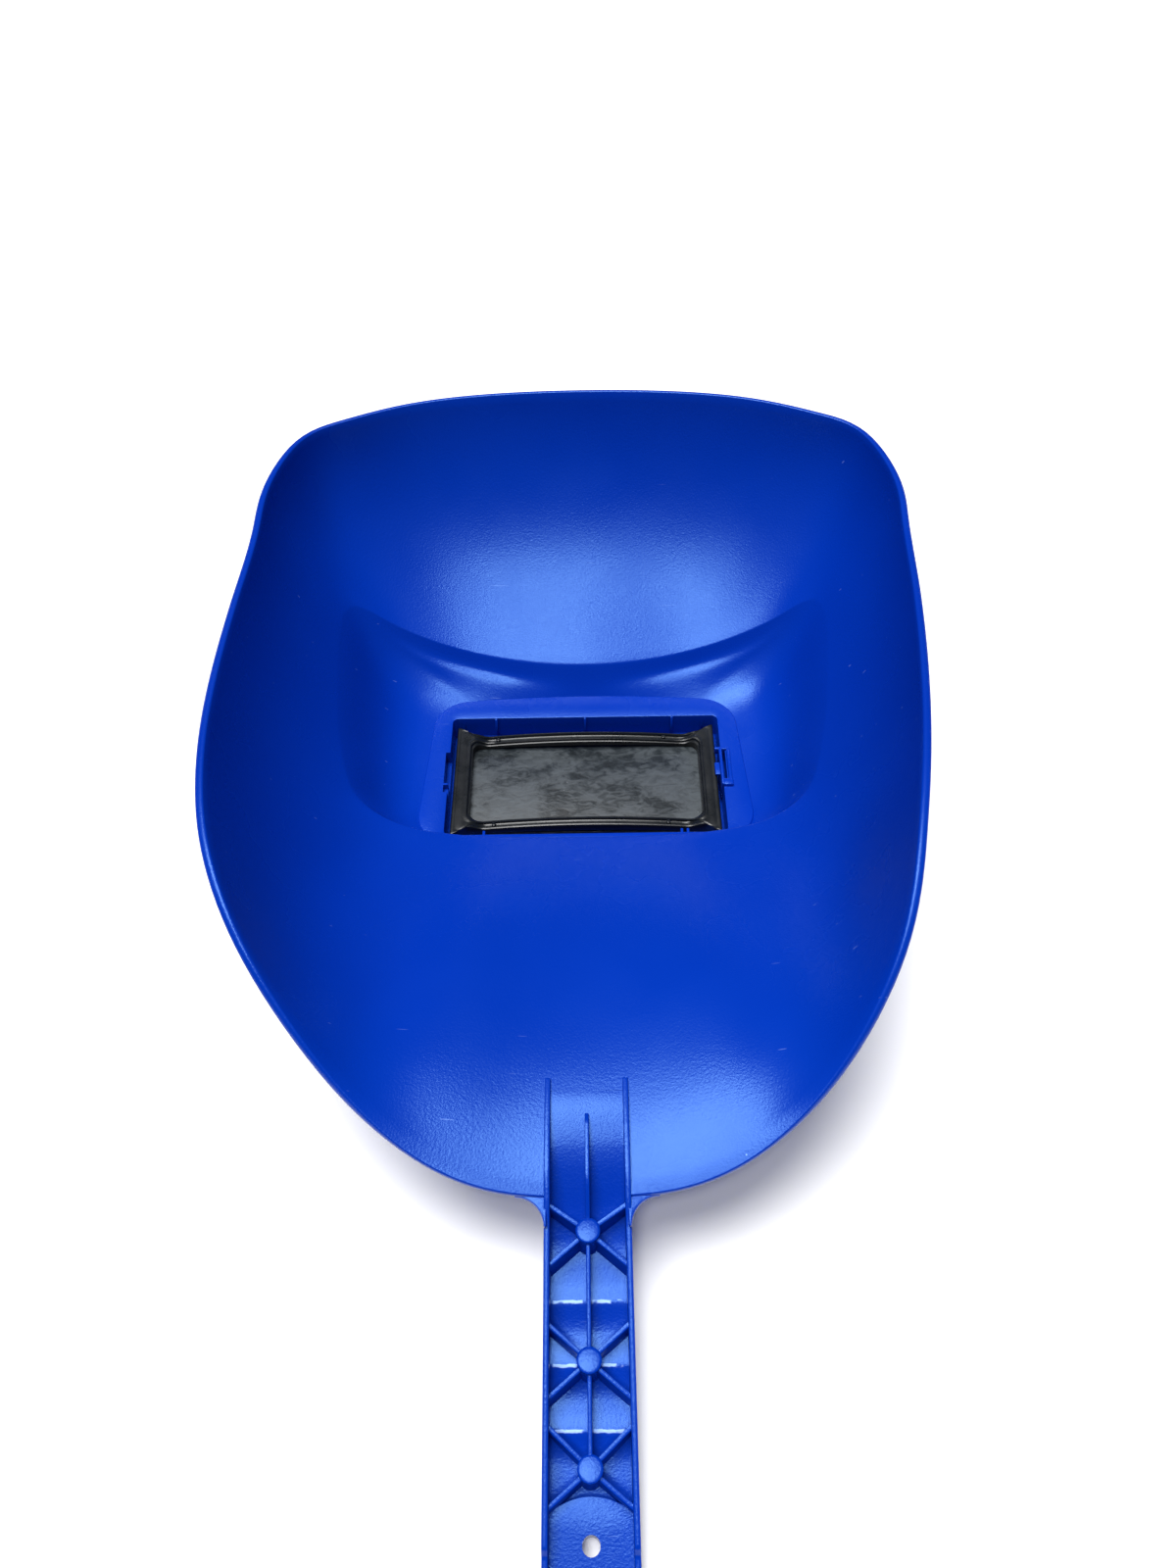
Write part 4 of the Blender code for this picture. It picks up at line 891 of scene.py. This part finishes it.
# One moulding
# The chin is opened between the flanges, and the window's walls are cut for the latch. Then the
# handle, with its hole and round end, and the window's fittings are joined to the face shell.
middle = HANDLE_HALF_WIDTH - FLANGE_THICKNESS / 2
notch = row_bar("notch", -middle, middle, HANDLE_ROOT_Y + FLOOR_START, HANDLE_ROOT_Y - LIP_WIDTH * 3,
                lambda y: 0.0, lambda y: RIM_HEIGHT, 0)
cuts = [notch] + window_slots()
for cut in cuts:
    set_down(cut)
weld(shell, cuts, "DIFFERENCE")

parts = handle_pieces() + stiffeners() + [end_wall(), plateau()] + root_fillets()
handle = parts.pop(0)
weld(handle, parts)

drill_y = HANDLE_END_Y + HOLE_FROM_END
bpy.ops.object.select_all(action="DESELECT")
bpy.ops.mesh.primitive_cylinder_add(vertices=ROUND_SIDES, radius=HOLE_DIAMETER / 2, depth=DRILL_DEPTH)
drill = bpy.context.object
drill.data.transform(Matrix.Translation((0, drill_y, 0)))
cuts = [drill]
corner_angle = np.linspace(0, math.pi / 2, 15)
end_half = half_width(HANDLE_END_Y)
for side in (-1, 1):
    centre_x, centre_y = end_half - HANDLE_END_RADIUS, HANDLE_END_Y + HANDLE_END_RADIUS
    arc = [(side * (centre_x + HANDLE_END_RADIUS * math.cos(a)), centre_y - HANDLE_END_RADIUS * math.sin(a))
           for a in corner_angle]
    past_side, past_end = side * (end_half + CUT_MARGIN), HANDLE_END_Y - CUT_MARGIN
    beyond = [(side * centre_x, past_end), (past_side, past_end), (past_side, centre_y)]
    cuts.append(plate("corner", arc + beyond, CORNER_CUT_LOW, CORNER_CUT_HIGH))
weld(handle, cuts, "DIFFERENCE")
set_down(handle)
fittings = box_ribs() + latch()
for fitting in fittings:
    set_down(fitting)
weld(shell, [handle] + fittings)

shell.name = "moulded_shell"
shell.data.materials.clear()
shell.data.materials.append(blue_plastic())
take(shell)
bpy.ops.object.shade_smooth_by_angle(angle=math.radians(32))
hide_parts("shell")
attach(shell, "root")

# Lens holder
# A snap-in frame of black satin plastic. Its long bars are channels that bow towards the wearer;
# the plain end bars stand past them in pointed tips. Four small pegs sit in the channels.
HOLDER_THICKNESS, HOLDER_END_BAR, HOLDER_LONG_BAR = 5.0, 7.2, 8.6
HOLDER_TIP_REACH, HOLDER_BAR_DROP, HOLDER_BOW, HOLDER_UNDER_BOW = 3.7, 2.8, 3.2, 1.6
HOLDER_OUTER_CORNER, HOLDER_INNER_CORNER, HOLDER_GROOVE = 0.6, 4.0, 1.2
PEG_DIAMETER, PEG_HEIGHT, PEG_ROUNDING, PEG_SHARE, PEG_PLACES = 1.9, 1.35, 0.3, 0.48, (-38.5, 34.5)
HOLDER_PROFILE_COLUMNS = ("share", "below_top", "in_groove")
HOLDER_PROFILE = (
    (0.00, 0.40, 0.0), (0.03, 0.12, 0.0), (0.08, 0.00, 0.0), (0.18, 0.00, 0.0), (0.23, 0.12, 0.10),
    (0.28, 0.12, 0.85), (0.33, 0.05, 1.0), (0.64, 0.05, 1.0), (0.69, 0.12, 0.85), (0.73, 0.12, 0.10),
    (0.78, 0.00, 0.0), (0.85, 0.00, 0.0), (0.89, 0.15, 0.0), (0.905, 0.60, 0.0), (0.92, 1.15, 0.0),
    (1.00, 1.30, 0.0),
)


def holder_ring(share, height, bow, drop=0.0):
    """A loop across the frame: share 0 at its outer edge, 1 at its opening."""
    inner_width = HOLDER_HALF_WIDTH - HOLDER_END_BAR
    inner_height = HOLDER_HALF_HEIGHT - HOLDER_LONG_BAR
    outer = window_loop(HOLDER_HALF_WIDTH, HOLDER_HALF_WIDTH, HOLDER_HALF_HEIGHT, HOLDER_HALF_HEIGHT,
                        HOLDER_OUTER_CORNER, height)
    inner = window_loop(inner_width, inner_width, inner_height, inner_height, HOLDER_INNER_CORNER, height)
    past_tip = ease((HOLDER_HALF_WIDTH - np.abs(outer[:, 0])) / HOLDER_END_BAR)
    on_edge = np.abs(outer[:, 1]) > inner_height
    outer[:, 1] -= np.sign(outer[:, 1]) * np.where(on_edge, HOLDER_TIP_REACH * past_tip, 0)
    loop = outer + (inner - outer) * share
    on_bar = ease((inner_width - np.abs(loop[:, 0])) / HOLDER_END_BAR)
    on_bar = np.where(np.abs(loop[:, 1]) > inner_height - HOLDER_INNER_CORNER, on_bar, 0)
    loop[:, 2] += on_bar * (bow * (1 - (loop[:, 0] / inner_width) ** 2) - drop)
    return full_ring(loop)


def lens_frame():
    bottom = HOLDER_TOP - HOLDER_THICKNESS
    rings = [holder_ring(0.0, bottom, HOLDER_UNDER_BOW)]
    for row in HOLDER_PROFILE:
        at = dict(zip(HOLDER_PROFILE_COLUMNS, row))
        rings.append(holder_ring(at["share"], HOLDER_TOP - at["below_top"], HOLDER_BOW,
                                 HOLDER_BAR_DROP + HOLDER_GROOVE * at["in_groove"]))
    rings.append(holder_ring(1.0, bottom, HOLDER_UNDER_BOW))
    frame_piece = lofted("lens_frame", rings)
    pegs = []
    channel = HOLDER_HALF_HEIGHT - HOLDER_TIP_REACH - (HOLDER_LONG_BAR - HOLDER_TIP_REACH) * PEG_SHARE
    for side in (-1, 1):
        for x in PEG_PLACES:
            share = x / (HOLDER_HALF_WIDTH - HOLDER_END_BAR)
            top = HOLDER_TOP - HOLDER_BAR_DROP + HOLDER_BOW * (1 - share ** 2) + 0.1
            bpy.ops.object.select_all(action="DESELECT")
            bpy.ops.mesh.primitive_cylinder_add(vertices=24, radius=PEG_DIAMETER / 2, depth=PEG_HEIGHT)
            peg = bpy.context.object
            peg.data.transform(Matrix.Translation((x, side * channel, top - PEG_HEIGHT / 2)))
            soften(peg, PEG_ROUNDING, 3)
            set_down(peg)
            pegs.append(peg)
    weld(frame_piece, pegs)
    return frame_piece


def black_plastic():
    finish = Finish("black_satin_plastic")
    finish.set("Base Color", (0.0035, 0.0048, 0.0065, 1.0))
    cloud = finish.noise(70.0, 4.0, 0.6)
    finish.roughness(finish.ramp(cloud, 0.3, 0.7, 0.24, 0.36))
    finish.bumps((finish.noise(1300.0, 2.0), 0.14, 0.0002), (finish.noise(220.0, 2.0), 0.05, 0.0005))
    finish.set("Specular IOR Level", 0.38)
    return finish.material


lens_holder = lens_frame()
lens_holder.data.materials.clear()
lens_holder.data.materials.append(black_plastic())
take(lens_holder)
bpy.ops.object.shade_smooth_by_angle(angle=math.radians(35))
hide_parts("lens_holder")
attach(lens_holder, "root")

# Filter glass
# A dark plate of the usual welding size with ground edges, held loosely under the lens holder. Its
# colour is a grey mottle over near black, with pale specks.
GLASS_CORNER, GLASS_BEVEL = 1.2, 0.4
GLASS_NEAR_BLACK, GLASS_MOTTLE_GREY = (0.003, 0.005, 0.007), (0.037, 0.047, 0.055)
GLASS_DUST = (0.20, 0.21, 0.22)


def glass_plate():
    size = np.array(glass_high) - np.array(glass_low)
    middle_of_glass = (np.array(glass_high) + np.array(glass_low)) / 2
    bpy.ops.object.select_all(action="DESELECT")
    bpy.ops.mesh.primitive_cube_add(size=1)
    plate_piece = bpy.context.object
    plate_piece.name = "dark_plate"
    bpy.ops.object.mode_set(mode="EDIT")
    bpy.ops.transform.resize(value=tuple(map(float, size)))
    bpy.ops.transform.translate(value=tuple(map(float, middle_of_glass)))
    bpy.ops.mesh.select_mode(type="EDGE")
    bpy.ops.object.mode_set(mode="OBJECT")
    for edge in plate_piece.data.edges:
        low_end, high_end = [plate_piece.data.vertices[i].co for i in edge.vertices]
        edge.select = abs(low_end.z - high_end.z) > size[2] / 2
    bpy.ops.object.mode_set(mode="EDIT")
    bpy.ops.mesh.bevel(offset=GLASS_CORNER * MM, segments=5)
    bpy.ops.mesh.select_mode(type="VERT")
    bpy.ops.object.mode_set(mode="OBJECT")
    soften(plate_piece, GLASS_BEVEL * MM, 2, 60.0)
    return plate_piece


def mottled_glass():
    finish = Finish("mottled_dark_glass")
    wide = finish.noise(30.0, 5.0, 0.62, finish.stretched((1.0, 1.5, 1.0)), 0.5)
    fine = finish.noise(160.0, 4.0, 0.65, finish.stretched((1.0, 2.2, 1.0)), 1.2)
    specks = finish.ramp(finish.cells(330.0), 0.10, 0.04)
    rare = finish.ramp(finish.noise(90.0, 2.0), 0.58, 0.66)
    dust = finish.sum(finish.sum(specks, rare, "MULTIPLY"), 0.5, "MULTIPLY")
    mottle = finish.sum(finish.sum(finish.ramp(wide, 0.36, 0.64), 0.60, "MULTIPLY"),
                        finish.sum(finish.ramp(fine, 0.36, 0.64), 0.40, "MULTIPLY"))
    finish.colour(finish.mix(dust, finish.mix(mottle, GLASS_NEAR_BLACK, GLASS_MOTTLE_GREY), GLASS_DUST))
    finish.roughness(finish.ramp(mottle, 0.2, 0.8, 0.30, 0.50))
    finish.bumps((fine, 0.22, 0.0004), (wide, 0.12, 0.001))
    return finish.material


glass = glass_plate()
glass.data.materials.append(mottled_glass())
take(glass)
bpy.ops.object.shade_smooth_by_angle(angle=math.radians(30))
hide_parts("filter_glass")
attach(glass, "root")
